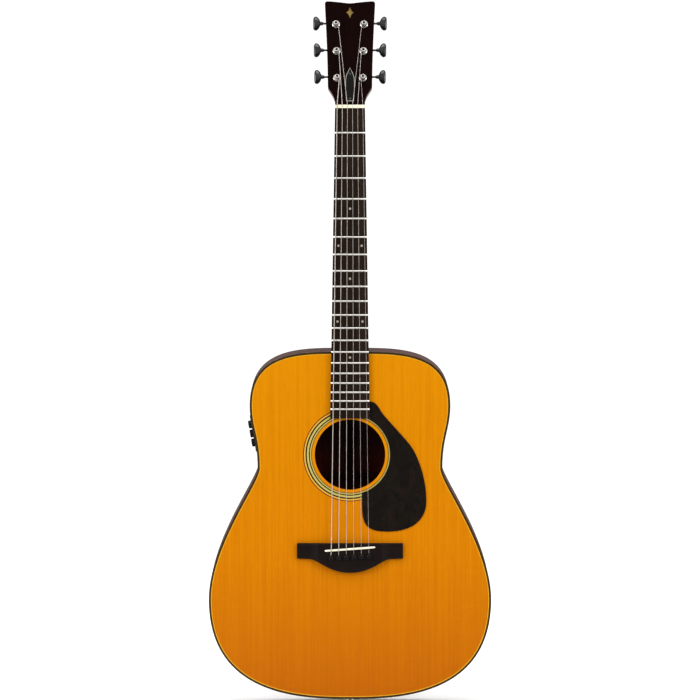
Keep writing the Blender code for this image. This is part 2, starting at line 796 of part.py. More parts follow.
def make_endpin():
    """The strap button, whose bore is the output socket, with its barrel through the tail block."""
    top = TAIL + WALL + GAP + BLOCK_TAIL_LENGTH + 8 * MM
    seat = TAIL - GAP
    profile = [
        (0, top),
        (ENDPIN_BARREL, top),
        (ENDPIN_BARREL, seat),
        (ENDPIN_FLANGE, seat),
        (ENDPIN_FLANGE, seat - 1.5 * MM),
        (ENDPIN_BARREL, seat - 2.5 * MM),
        (ENDPIN_BARREL, 4.5 * MM),
        (ENDPIN_BUTTON, 3.0 * MM),
        (ENDPIN_BUTTON, 0.6 * MM),
        (ENDPIN_BUTTON - 0.6 * MM, 0),
        (ENDPIN_BORE, 0),
        (ENDPIN_BORE, top - 5 * MM),
        (0, top - 5 * MM),
    ]
    place = Matrix.Translation((0, FRONT_Y + ENDPIN_DEPTH, 0))
    paint(lathe("endpin_jack", profile, place, 16), STEEL, 1.0, 0.25)


# Fingerboard, strings and bridge


def half_board(up):
    """Half the fingerboard's width at a height."""
    along = (NUT - up) / JOIN_DISTANCE
    return (NUT_WIDTH + (JOIN_WIDTH - NUT_WIDTH) * along) / 2


def crown(x):
    """How far the round fingerboard falls away beside its centreline."""
    return x * x / (2 * BOARD_RADIUS)


def crowned_section(up, half, low, high, steps):
    """A section with a flat underside and a crowned front."""
    xs = [half * (1 - 2 * i / steps) for i in range(steps + 1)]
    return [(half, up, low)] + [(x, up, high - crown(x)) for x in xs] + [(-half, up, low)]


def make_fingerboard():
    """The crowned board with its frets."""
    ends = (NUT - GAP, BOARD_END)
    rings = [crowned_section(up, half_board(up), BOARD_BOTTOM, BOARD_FRONT, 4) for up in ends]
    board = loft("fingerboard", rings)
    shape = bmesh.new()
    steps = 2
    for number in range(1, FRETS + 1):
        middle = NUT - fret_distance(number)
        half = half_board(middle) - 0.3 * MM
        profile = (
            (-FRET_WIDTH / 2, -0.5 * MM),
            (-FRET_WIDTH / 4, FRET_HEIGHT),
            (FRET_WIDTH / 4, FRET_HEIGHT),
            (FRET_WIDTH / 2, -0.5 * MM),
        )
        rows = []
        for i in range(steps + 1):
            x = half * (2 * i / steps - 1)
            level = BOARD_FRONT - crown(x)
            rows.append([shape.verts.new((x, middle + a, level + h)) for a, h in profile])
        for row, following in zip(rows, rows[1:]):
            for i in range(4):
                j = (i + 1) % 4
                shape.faces.new((row[i], row[j], following[j], following[i]))
        shape.faces.new(list(reversed(rows[0])))
        shape.faces.new(rows[-1])
    join(board, solid("frets", shape, FACE))
    paint(board, DARK_WOOD, roughness=0.5)


def string_start(index):
    """A string's end beside its pin, from under the soundboard to just over the bridge."""
    radius = STRING_RADII[index]
    x, up = pin_places()[index]
    beside = up + PIN_SHAFT + GAP + radius
    return [(x, beside, BRIDGE_FRONT - STRING_SINK), (x, beside, BRIDGE_FRONT + GAP + radius)]


def string_run(index):
    """A string's points over the saddle and the nut."""
    radius = STRING_RADII[index]
    low = (index - 2.5) * SADDLE_SPACING
    high = (index - 2.5) * NUT_SPACING
    saddle = SADDLE + low * math.tan(SADDLE_SLANT)
    low_height = SADDLE_STRING_FLOOR - crown(low) + radius
    high_height = NUT_STRING_FLOOR - crown(high) + radius
    edge = SADDLE_WIDTH / 2 + GAP
    return [
        (low, saddle - edge, low_height),
        (low, saddle + edge, low_height),
        (high, NUT - GAP, high_height),
        (high, HEAD_START + GAP, high_height),
    ]


def post_place(index):
    """A string's post, as (x, up) on the headstock."""
    row = index if index < 3 else 5 - index
    side = -1 if index < 3 else 1
    return side * POST_SPREADS[row], POST_ROWS[row]


def string_wrap(index):
    """A string's points at its post: the touching point on the inner side, then half a turn."""
    x, up = post_place(index)
    inner = 1 if index < 3 else -1
    leave = HEAD.inverted() @ FACE @ Vector(string_run(index)[-1])
    ring = POST_WAIST + GAP + STRING_RADII[index]
    toward = Vector((leave.x - x, leave.y - up))
    angle = math.atan2(toward.y, toward.x) + inner * math.acos(ring / toward.length)
    points = []
    for i in range(7):
        turn = angle + inner * math.radians(32) * i
        height = WRAP_HEIGHT - i * 0.12 * MM
        points.append((x + ring * math.cos(turn), up + ring * math.sin(turn), height))
    return [FACE.inverted() @ HEAD @ Vector(point) for point in points]


def string_path(index):
    """A string's whole route, from its pin to its post."""
    return string_start(index) + string_run(index) + string_wrap(index)


def string_slots(name, places, low, high, frame):
    """Round slots with clearance for the six strings."""
    radii = [radius + GAP for radius in STRING_RADII]
    return as_tool(pegs(name, radii, places, low, high, frame, 8))


STRING_ENDS = string_slots(
    "room_string_ends",
    [string_start(index)[0][:2] for index in range(6)],
    BRIDGE_FRONT - STRING_SINK - 1 * MM,
    BRIDGE_FRONT + 5 * MM,
    FACE,
)
NUT_SLOTS = string_slots(
    "room_nut_slots",
    [(string_run(index)[-1][0], string_run(index)[-1][2]) for index in range(6)],
    -HEAD_START - 2 * MM,
    -NUT + 2 * MM,
    ALONG,
)


def make_strings():
    """Six steel strings, from the lowest to the highest."""
    for index, radius in enumerate(STRING_RADII):
        wire = tube(f"string_{index + 1}", string_path(index), radius)
        paint(wire, (0.5, 0.45, 0.38), 1.0, 0.3)


def make_nut():
    """The slotted nut at the fingerboard's end."""
    half = NUT_WIDTH / 2
    ends = (NUT, HEAD_START)
    rings = [crowned_section(up, half, BOARD_BOTTOM, NUT_HEIGHT, 4) for up in ends]
    nut = loft("nut", rings)
    cut(nut, NUT_SLOTS)
    paint(nut, IVORY)


def saddle_frame():
    """The slanted saddle's frame: along it, towards the front, and towards the tail."""
    slant = (math.cos(SADDLE_SLANT), 0, math.sin(SADDLE_SLANT))
    tailward = (math.sin(SADDLE_SLANT), 0, -math.cos(SADDLE_SLANT))
    return frame_matrix((0, FRONT_Y, SADDLE), slant, (0, -1, 0), tailward)


def make_saddle():
    """The saddle, crowned like the fingerboard, in its slot."""
    half = SADDLE_LENGTH / 2
    floor = BRIDGE_FRONT - SADDLE_SINK + GAP
    crest = SADDLE_STRING_FLOOR - GAP
    xs = [half * (1 - 2 * i / 10) for i in range(11)]
    loop = [(half, floor)] + [(x, crest - crown(x)) for x in xs] + [(-half, floor)]
    saddle = plate("saddle", [loop], -SADDLE_WIDTH / 2, SADDLE_WIDTH / 2, saddle_frame())
    paint(saddle, IVORY)


def make_bridge():
    """The bridge: straight along the saddle's side, bellied behind the pins, with thin wings."""
    top = SADDLE + BRIDGE_ABOVE_SADDLE
    wing = top - BRIDGE_WING
    belly = wing - BRIDGE_BELLY
    fillet = 1.5 * MM
    half = [(BRIDGE_HALF - fillet, top), (BRIDGE_HALF, top - fillet)]
    half += [(BRIDGE_HALF, wing + fillet), (BRIDGE_HALF - fillet, wing)]
    start = (BELLY_HALF, wing - WING_SLOPE)
    end = (0, belly)
    first = (BELLY_HALF * 0.75, wing - WING_SLOPE)
    second = (BELLY_HALF * 0.55, belly)
    half += bezier(start, first, second, end, 10) + [end]
    bridge = plate("bridge", [mirrored(half)], GAP, BRIDGE_FRONT)
    wide = BRIDGE_HALF + 5 * MM
    wing_front = GAP + WING_THICKNESS
    ramp = (BRIDGE_FRONT - wing_front) / (WING_FOOT - WING_SHOULDER)
    ridge = BRIDGE_FRONT + ramp * WING_SHOULDER
    side = [(wide, -5 * MM), (wide, wing_front), (WING_FOOT, wing_front), (0, ridge)]
    side += [(-x, h) for x, h in reversed(side[:-1])]
    room = BRIDGE_WING + BRIDGE_BELLY
    keep(bridge, plate("bridge_profile", [side], -top - room, -top + 2 * room, ALONG))
    reach = SADDLE_LENGTH / 2 + GAP
    width = SADDLE_WIDTH / 2 + GAP
    slot = box(
        "room_saddle",
        (-reach, BRIDGE_FRONT - SADDLE_SINK, -width),
        (reach, BRIDGE_FRONT + 5 * MM, width),
        saddle_frame(),
    )
    cut(bridge, slot)
    cut(bridge, PIN_HOLES)
    cut(bridge, STRING_ENDS)
    paint(bridge, DARK_WOOD, roughness=0.45)


def make_pins():
    """Six bridge pins, each with a domed head on a short neck and a tapered shaft."""
    for index, (x, up) in enumerate(pin_places()):
        place = FACE @ Matrix.Translation((x, up, BRIDGE_FRONT))
        profile = [
            (0, PIN_STAND),
            (PIN_HEAD * 0.55, PIN_STAND - 0.3 * MM),
            (PIN_HEAD * 0.92, PIN_STAND - 1.1 * MM),
            (PIN_HEAD, PIN_NECK),
            (PIN_SHAFT, PIN_NECK),
            (PIN_SHAFT, -2 * MM),
            (PIN_SHAFT * 0.75, -PIN_DEPTH),
            (0, -PIN_DEPTH - 0.8 * MM),
        ]
        paint(lathe(f"bridge_pin_{index + 1}", profile, place, 10), BLACK)


def make_pickguard():
    """The guard that follows the soundhole and the fingerboard's edge."""
    beside = GAP + 0.1 * MM

    def at(x, up):
        return (x * MM, HOLE + up * MM)

    start_up = HOLE + 78.4 * MM
    start = (half_board(start_up) + beside, start_up)
    curves = (
        (start, at(37, 78.6), at(41, 72), at(44.5, 65.5), 5),
        (at(44.5, 65.5), at(49, 57), at(76, 30), at(88.1, 14.5), 5),
        (at(88.1, 14.5), at(100, -1), at(112.1, -35), at(112.1, -67.9), 6),
        (at(112.1, -67.9), at(112.1, -102), at(84, -113.3), at(55.3, -113.3), 8),
        (at(55.3, -113.3), at(27, -113.3), at(17.6, -106), at(17.6, -74.6), 7),
    )
    loop = []
    for corners in curves:
        loop += bezier(*corners)
    low = -math.acos(17.6 * MM / GUARD_RADIUS)
    edge = half_board(BOARD_END) + beside
    high = math.acos(edge / GUARD_RADIUS)
    steps = 14
    for i in range(steps + 1):
        turn = low + (high - low) * i / steps
        loop.append((GUARD_RADIUS * math.cos(turn), HOLE + GUARD_RADIUS * math.sin(turn)))
    loop.append((edge, BOARD_END))
    guard = plate("pickguard", [loop], GAP, GAP + GUARD_THICKNESS)
    paint(guard, (0.015, 0.008, 0.006), roughness=0.15)


# Neck and headstock


def neck_ring(front, width, depth, heel, cap, square):
    """One side's points of a neck section, from its front edge round to its back centre.

    The section is a half ellipse; heel (0 to 1) turns it into the heel's deep wedge with a flat
    cap, and square (0 to 1) turns it into the headstock's rectangle.
    """
    steps = 6
    turn = 4 / steps
    half = width / 2
    points = []
    for i in range(steps + 1):
        s = i / steps
        round_x = half * math.cos(s * math.pi / 2)
        round_y = depth * math.sin(s * math.pi / 2)
        sunk = min(1.0, s / turn)
        wedge_x = cap + (half - cap) * (1 - sunk) ** 1.7
        if s > turn:
            wedge_x = cap * (1 - s) / (1 - turn)
        wedge_y = depth * sunk
        box_x = half * min(1.0, 2 - 2 * s)
        box_y = depth * min(1.0, 2 * s)
        x = (1 - heel - square) * round_x + heel * wedge_x + square * box_x
        y = (1 - heel - square) * round_y + heel * wedge_y + square * box_y
        points.append((x, front - y))
    return points + [(-x, y) for x, y in reversed(points[:-1])]


def neck_rings():
    """The neck's sections, from inside the headstock down to the body joint."""
    rings = []
    back = HEAD_THICKNESS - 0.15 * MM
    front = OVERLAY_THICKNESS + GAP + 0.1 * MM
    to_face = FACE.inverted() @ HEAD
    for up, square in ((14 * MM, 1.0), (9 * MM, 0.8), (4 * MM, 0.4)):
        width = 2 * head_half(up) - 0.3 * MM
        ring = neck_ring(-front, width, back - front, 0, 0, square)
        rings.append([to_face @ Vector((x, up, h)) for x, h in ring])
    rings.append([(x, HEAD_START, h) for x, h in neck_ring(-0.4 * MM, NUT_WIDTH, 14.2 * MM, 0, 0, 0.1)])
    heel_start = TOP + HEEL_LENGTH
    for share in (0, 0.3, 0.65, 1.0):
        up = NUT + (heel_start - NUT) * share
        depth = NECK_DEPTH_NUT + (NECK_DEPTH_HEEL - NECK_DEPTH_NUT) * share
        ring = neck_ring(0, 2 * half_board(up), depth, 0, 0, 0)
        rings.append([(x, up, h) for x, h in ring])
    steps = 7
    sweep = HEEL_LENGTH - HEEL_CAP_LENGTH
    for i in range(1, steps + 1):
        turn = math.pi / 2 * i / steps
        up = heel_start - sweep * math.sin(turn)
        rise = 1 - math.cos(turn)
        depth = NECK_DEPTH_HEEL + (HEEL_DEPTH - NECK_DEPTH_HEEL) * rise
        ring = neck_ring(0, 2 * half_board(up), depth, rise**0.5, 3 * MM, 0)
        rings.append([(x, up, h) for x, h in ring])
    for share in (0.5, 1.0):
        up = TOP + HEEL_CAP_LENGTH * (1 - share) + GAP * share
        cap = 3 * MM + (HEEL_CAP_WIDTH / 2 - 3 * MM) * share**0.6
        ring = neck_ring(0, 2 * half_board(up), HEEL_DEPTH, 1, cap, 0)
        rings.append([(x, up, h) for x, h in ring])
    return rings


def head_side():
    """The headstock's right edge, from beside the nut to the top centre."""
    nut = NUT_WIDTH / 2
    shoulder = HEAD_SHOULDER_WIDTH / 2
    wide = HEAD_WIDTH / 2
    corner = 3.7 * MM
    low = (nut, 2 * MM)
    bend = (shoulder, HEAD_SHOULDER)
    points = bezier(low, (nut, 12 * MM), (nut + 5 * MM, HEAD_SHOULDER - 8.5 * MM), bend, 6)
    points += bezier(bend, (shoulder + 0.4 * MM, 27 * MM), (shoulder + 0.6 * MM, 27.5 * MM),
                     (shoulder + 0.6 * MM, 30 * MM), 2)
    points += bezier((shoulder + 0.6 * MM, 30 * MM), (shoulder + 0.9 * MM, 70 * MM),
                     (wide - 2 * MM, HEAD_LENGTH - 40 * MM), (wide, HEAD_LENGTH - corner), 6)
    for i in range(5):
        turn = math.pi / 2 * i / 4
        x = wide - corner * (1 - math.cos(turn))
        points.append((x, HEAD_LENGTH - corner * (1 - math.sin(turn))))
    return points + [(0, HEAD_LENGTH - HEAD_DIP)]


HEAD_SIDE = head_side()


def head_half(up):
    """Half the headstock's width at a height."""
    for low, high in zip(HEAD_SIDE, HEAD_SIDE[1:]):
        if low[1] <= up <= high[1]:
            return low[0] + (high[0] - low[0]) * (up - low[1]) / (high[1] - low[1])
    return NUT_WIDTH / 2


def head_loop(start):
    """The headstock's outline above a height."""
    return mirrored([(head_half(start), start)] + [p for p in HEAD_SIDE if p[1] > start])


POST_PLACES = [post_place(index) for index in range(6)]
POST_HOLES = as_tool(
    pegs("room_posts", [POST_RADIUS + GAP] * 6, POST_PLACES, -HEAD_THICKNESS - 5 * MM, 5 * MM, HEAD)
)


def make_neck():
    """The neck with its heel and tenon, the headstock, and the truss rod's channel."""
    neck = loft("neck", neck_rings())
    head = plate("headstock", [head_loop(11 * MM)], -HEAD_THICKNESS, -OVERLAY_THICKNESS - GAP, HEAD)
    join(neck, head)
    half = TENON_WIDTH / 2
    low = (-half, TOP - TENON_LENGTH, -TENON_DEPTH)
    join(neck, box("tenon", low, (half, TOP + 8 * MM, -BINDING_HEIGHT - GAP)))
    half = ROD_RADIUS + GAP
    low = (-half, TOP + 4 * MM, ROD_HEIGHT - half)
    cut(neck, box("room_truss_rod", low, (half, HEAD_START + ROD_ACCESS + GAP, 3 * MM)))
    pocket = box("room_rod_pocket", (-4.5 * MM, 0, -11 * MM), (4.5 * MM, 28 * MM, 5 * MM), HEAD)
    cut(neck, pocket)
    cut(neck, POST_HOLES)
    paint(neck, (0.02, 0.006, 0.008), roughness=0.3)


def make_truss_rod():
    """The steel rod in the neck, whose end is reached from the headstock's pocket."""
    low = -HEAD_START - ROD_ACCESS
    high = -TOP - 4 * MM - GAP
    rod = pegs("truss_rod", [ROD_RADIUS], [(0, ROD_HEIGHT)], low, high, ALONG, 12)
    paint(rod, STEEL, 1.0, 0.4)


def make_head_dressing():
    """The headstock's front veneer and the truss rod's cover."""
    start = 0.9 * MM
    overlay = plate("headstock_overlay", [head_loop(start)], -OVERLAY_THICKNESS, 0, HEAD)
    slot = box("room_rod_slot", (-4.5 * MM, 5 * MM, -5 * MM), (4.5 * MM, 28 * MM, 5 * MM), HEAD)
    cut(overlay, slot)
    cut(overlay, POST_HOLES)
    paint(overlay, (0.02, 0.004, 0.006), roughness=0.2)
    half = COVER_WIDTH / 2
    top = COVER_START + COVER_LENGTH
    side = [(half * 0.8, COVER_START), (half, COVER_START + 20 * MM)]
    side += bezier((half, top - 22 * MM), (half, top - 10 * MM), (2 * MM, top - 6 * MM), (0, top), 6)
    cover = plate("truss_rod_cover", [mirrored(side + [(0, top)])], GAP, GAP + 1.5 * MM, HEAD)
    paint(cover, BLACK, roughness=0.15)


# Tuners


def gear_points():
    """The gear's outline, with a gap between two teeth facing the worm."""
    tip = GEAR_TEETH * GEAR_MODULE / 2 + TOOTH_REACH
    root = GEAR_TEETH * GEAR_MODULE / 2 - TOOTH_ROOT
    pitch = 2 * math.pi / GEAR_TEETH
    points = []
    for tooth in range(GEAR_TEETH):
        middle = math.pi / 2 + pitch * (tooth + 0.5)
        for radius, half, side in (
            (root, TOOTH_ROOT_HALF, -1),
            (tip, TOOTH_TIP_HALF, -1),
            (tip, TOOTH_TIP_HALF, 1),
            (root, TOOTH_ROOT_HALF, 1),
        ):
            points.append((radius, middle + side * half / radius))
    return points


def make_gear(name, place):
    """A gear at the worm's height whose teeth are twisted to the worm's lead."""
    rings = []
    twist = math.tan(WORM_LEAD) / (GEAR_TEETH * GEAR_MODULE / 2)
    for offset in (-GEAR_THICKNESS / 2, GEAR_THICKNESS / 2):
        ring = []
        for radius, angle in gear_points():
            turned = angle + offset * twist
            height = WORM_HEIGHT + offset
            ring.append((radius * math.cos(turned), radius * math.sin(turned), height))
        rings.append(ring)
    return loft(name, rings, place, moving=True)


def make_post(index):
    """A string post through the headstock, with its gear behind."""
    x, up = post_place(index)
    place = HEAD @ Matrix.Translation((x, up, 0))
    low = WORM_HEIGHT - GEAR_THICKNESS / 2
    profile = [
        (0, POST_TOP - 1.2 * MM),
        (1.4 * MM, POST_TOP),
        (POST_RADIUS - 0.3 * MM, POST_TOP),
        (POST_RADIUS, POST_TOP - 0.5 * MM),
        (POST_RADIUS, WRAP_HEIGHT + 3.0 * MM),
        (POST_WAIST, WRAP_HEIGHT + 1.5 * MM),
        (POST_WAIST, WRAP_HEIGHT - 2.0 * MM),
        (POST_RADIUS, WRAP_HEIGHT - 3.0 * MM),
        (POST_RADIUS, low - 1.0 * MM),
        (0, low - 1.0 * MM),
    ]
    post = lathe(f"string_post_{index + 1}", profile, place, 10)
    join(post, make_gear(f"post_gear_{index + 1}", place))
    paint(post, STEEL, 1.0, 0.25)


def worm_columns(half):
    """The worm's rows at each angle: (x, radius) pairs that climb one pitch a turn."""
    root = WORM_RADIUS - TOOTH_ROOT
    tip = WORM_RADIUS + TOOTH_REACH
    corners = (
        (-TOOTH_ROOT_HALF, root),
        (-TOOTH_TIP_HALF, tip),
        (TOOTH_TIP_HALF, tip),
        (TOOTH_ROOT_HALF, root),
    )
    threads = math.ceil(half / WORM_PITCH) + 2
    columns = []
    for k in range(KEY_SIDES):
        shift = WORM_PITCH * (k / KEY_SIDES - 0.5)
        column = []
        for thread in range(-threads, threads + 1):
            for offset, radius in corners:
                x = thread * WORM_PITCH + offset + shift
                inside = abs(x) < half
                column.append((x, radius) if inside else (math.copysign(half, x), root))
        columns.append(column)
    return columns


def button_stations():
    """The key's rings beyond the worm, as (distance, half height, half thickness)."""
    wide = BUTTON_HEIGHT / 2
    thick = BUTTON_THICKNESS / 2
    start = KEY_REACH - BUTTON_LENGTH
    shaft = KEY_SHAFT
    shares = (
        (0.00, 3.0 * MM, 3.0 * MM),
        (0.16, 2.8 * MM, 2.8 * MM),
        (0.38, 0.72 * wide, 0.90 * thick),
        (0.65, wide, thick),
        (0.90, 0.93 * wide, 0.88 * thick),
        (1.00, 0.56 * wide, 0.40 * thick),
    )
    stations = [(WORM_HALF + 0.15 * MM, shaft, shaft), (start - 0.3 * MM, shaft, shaft)]
    return stations + [(start + share * BUTTON_LENGTH, a, b) for share, a, b in shares]


def make_key(index):
    """A tuning key: its worm, its shaft and its button, turning about an axis across the head."""
    x, up = post_place(index)
    side = -1 if index < 3 else 1
    shape = bmesh.new()
    turns = [2 * math.pi * k / KEY_SIDES for k in range(KEY_SIDES)]
    grid = []
    for turn, column in zip(turns, worm_columns(WORM_HALF)):
        ring = [(a, r * math.cos(turn), r * math.sin(turn)) for a, r in column]
        grid.append([shape.verts.new(point) for point in ring])
    rows = len(grid[0])
    for k in range(KEY_SIDES):
        following = (k + 1) % KEY_SIDES
        climb = 4 if following == 0 else 0
        for row in range(rows - 1):
            low = min(row + climb, rows - 1)
            high = min(row + 1 + climb, rows - 1)
            corners = [grid[k][row], grid[k][row + 1], grid[following][high], grid[following][low]]
            if low == high:
                corners.pop()
            shape.faces.new(corners)

    def ring_at(distance, tall, thick):
        places = [(distance, tall * math.cos(t), thick * math.sin(t)) for t in turns]
        return [shape.verts.new(place) for place in places]

    def bridge(first, second):
        for k in range(KEY_SIDES):
            j = (k + 1) % KEY_SIDES
            shape.faces.new((first[k], first[j], second[j], second[k]))

    root = WORM_RADIUS - TOOTH_ROOT
    inner = ring_at(-side * WORM_HALF, root, root)
    stub = ring_at(-side * (WORM_HALF + 0.15 * MM), KEY_SHAFT, KEY_SHAFT)
    stub_end = ring_at(-side * (EAR_INNER + EAR_THICKNESS + 0.5 * MM), KEY_SHAFT, KEY_SHAFT)
    bridge(inner, stub)
    bridge(stub, stub_end)
    shape.faces.new(stub_end)
    last = ring_at(side * WORM_HALF, root, root)
    for distance, tall, thick in button_stations():
        ring = ring_at(side * distance, tall, thick)
        bridge(last, ring)
        last = ring
    shape.faces.new(last)
    place = HEAD @ Matrix.Translation((x, up + WORM_OFFSET, WORM_HEIGHT))
    key = solid(f"tuner_key_{index + 1}", shape, place, moving=True)
    paint(key, STEEL, 1.0, 0.25)


def make_tuner_base(index):
    """The plate that carries a key's shaft in two ears behind the headstock."""
    x, up = post_place(index)
    half = BASE_WIDTH / 2
    low = up - 9 * MM
    high = up + WORM_OFFSET + 9 * MM
    corner = 2 * MM
    loop = [(x - half + corner, low), (x + half - corner, low), (x + half, low + corner)]
    loop += [(x + half, high - corner), (x + half - corner, high), (x - half + corner, high)]
    loop += [(x - half, high - corner), (x - half, low + corner)]
    front = -HEAD_THICKNESS - GAP
    back = front - BASE_THICKNESS
    hole = circle(POST_RADIUS + GAP, (x, up), 12)
    base = plate(f"tuner_base_{index + 1}", [loop, hole], back, front, HEAD)
    middle = up + WORM_OFFSET
    for side, word in ((-1, "left"), (1, "right")):
        inner = x + side * EAR_INNER
        outer = x + side * (EAR_INNER + EAR_THICKNESS)
        corner_a = (min(inner, outer), middle - EAR_HALF, WORM_HEIGHT - EAR_HALF)
        corner_b = (max(inner, outer), middle + EAR_HALF, back + BASE_THICKNESS / 2)
        join(base, box(f"ear_{word}_{index + 1}", corner_a, corner_b, HEAD))
    across = HEAD @ frame_matrix((x, middle, WORM_HEIGHT), (0, 1, 0), (0, 0, 1), (1, 0, 0))
    reach = EAR_INNER + EAR_THICKNESS + 2 * MM
    bore = pegs(f"room_key_{index + 1}", [KEY_SHAFT + GAP], [(0, 0)], -reach, reach, across, 10)
    cut(base, bore)
    paint(base, STEEL, 1.0, 0.3)


def make_tuners():
    for index in range(6):
        make_post(index)
        make_key(index)
        make_tuner_base(index)


def main():
    make_soundboard()
    make_rosette()
    make_back()
    make_sides()
    make_bindings()
    make_blocks()
    make_linings()
    make_top_braces()
    make_back_braces()
    make_preamp()
    make_endpin()
    make_fingerboard()
    make_strings()
    make_nut()
    make_saddle()
    make_bridge()
    make_pins()
    make_pickguard()
    make_neck()
    make_truss_rod()
    make_head_dressing()
    make_tuners()


main()
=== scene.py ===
import json
import math
import bmesh
import bpy
from mathutils import Matrix, Vector


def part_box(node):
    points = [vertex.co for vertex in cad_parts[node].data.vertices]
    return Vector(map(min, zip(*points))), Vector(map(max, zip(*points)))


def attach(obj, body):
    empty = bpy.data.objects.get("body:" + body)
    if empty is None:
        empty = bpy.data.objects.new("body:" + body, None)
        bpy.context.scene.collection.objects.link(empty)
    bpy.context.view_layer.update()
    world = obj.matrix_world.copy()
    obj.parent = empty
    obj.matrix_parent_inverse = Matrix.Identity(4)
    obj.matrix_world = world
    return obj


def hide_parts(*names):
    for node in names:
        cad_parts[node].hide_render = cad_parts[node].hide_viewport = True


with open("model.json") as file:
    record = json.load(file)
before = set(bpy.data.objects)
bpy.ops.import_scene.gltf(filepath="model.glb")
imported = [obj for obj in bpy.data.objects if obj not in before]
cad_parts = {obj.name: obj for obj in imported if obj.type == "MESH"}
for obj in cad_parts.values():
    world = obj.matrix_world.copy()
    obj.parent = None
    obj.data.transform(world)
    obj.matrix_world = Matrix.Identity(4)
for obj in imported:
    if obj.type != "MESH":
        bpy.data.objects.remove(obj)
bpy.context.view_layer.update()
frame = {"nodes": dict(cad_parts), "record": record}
MM = 0.001

# Places, all from the frame

TOP_LOW, TOP_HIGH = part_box("top_binding")
FRONT = TOP_LOW[1]
TAIL = TOP_LOW[2]
TOP = TOP_HIGH[2]
LENGTH = TOP - TAIL
NUT, HEAD_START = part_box("nut")[0][2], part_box("nut")[1][2]
BOARD_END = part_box("fingerboard")[0][2]
RING_LOW, RING_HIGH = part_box("rosette")
HOLE = (RING_LOW[2] + RING_HIGH[2]) / 2
RING_OUTER = (RING_HIGH[0] - RING_LOW[0]) / 2
JOINTS = {joint["name"]: joint for joint in frame["record"]["behaviour"]["joints"]}


def frame_matrix(origin, across, up, out):
    columns = Matrix((across, up, out)).transposed().to_4x4()
    return Matrix.Translation(origin) @ columns


HEAD_OUT = Vector(JOINTS["post_1_spin"]["axis"]).normalized()
HEAD_UP = HEAD_OUT.cross(Vector((1, 0, 0))).normalized()
if HEAD_UP.z < 0:
    HEAD_UP.negate()
FACE = frame_matrix((0, FRONT, 0), (1, 0, 0), (0, 0, 1), (0, -1, 0))
ALONG = frame_matrix((0, FRONT, 0), (1, 0, 0), (0, -1, 0), (0, 0, -1))
HEAD_DROP = 1.5 * MM
HEAD = frame_matrix((0, FRONT - HEAD_DROP, HEAD_START), (1, 0, 0), HEAD_UP, HEAD_OUT)
TO_HEAD = HEAD.inverted()
HEAD_LENGTH = max((TO_HEAD @ Vector(v.co)).y for v in frame["nodes"]["headstock_overlay"].data.vertices)
POSTS = [TO_HEAD @ Vector(JOINTS[f"post_{i + 1}_spin"]["pos_m"]) for i in range(6)]
KEYS = [TO_HEAD @ Vector(JOINTS[f"key_{i + 1}_spin"]["pos_m"]) for i in range(6)]

# Sizes shared with the frame's parts

WALL = 2.5 * MM
BINDING_HEIGHT = 6.0 * MM
HOLE_RADIUS = RING_OUTER - 17.2 * MM
BOARD_FRONT = 6.3 * MM
BOARD_RADIUS = 400.0 * MM
SCALE = 645.0 * MM
BRIDGE_FRONT = 8.3 * MM
STRING_RADII = [r * MM for r in (0.673, 0.533, 0.406, 0.305, 0.203, 0.152)]
WOUND = 4
NUT_WIDTH = 44.0 * MM
JOIN_WIDTH = 55.0 * MM
JOIN = SCALE * (1 - 2 ** (-14 / 12))
SADDLE = NUT - SCALE - 2.7 * MM
SADDLE_SLANT = math.radians(4.2)
PINS = SADDLE - 12.2 * MM
PIN_SLANT = math.radians(2.8)
WRAP_HEIGHT = 5.5 * MM
POST_WAIST = 2.6 * MM
HEAD_THICKNESS = 16.5 * MM
HEEL_DEPTH = 97.0 * MM


# Materials


def linear(red, green, blue):
    def one(c):
        c /= 255
        return c / 12.92 if c <= 0.04045 else ((c + 0.055) / 1.055) ** 2.4

    return (one(red), one(green), one(blue), 1.0)


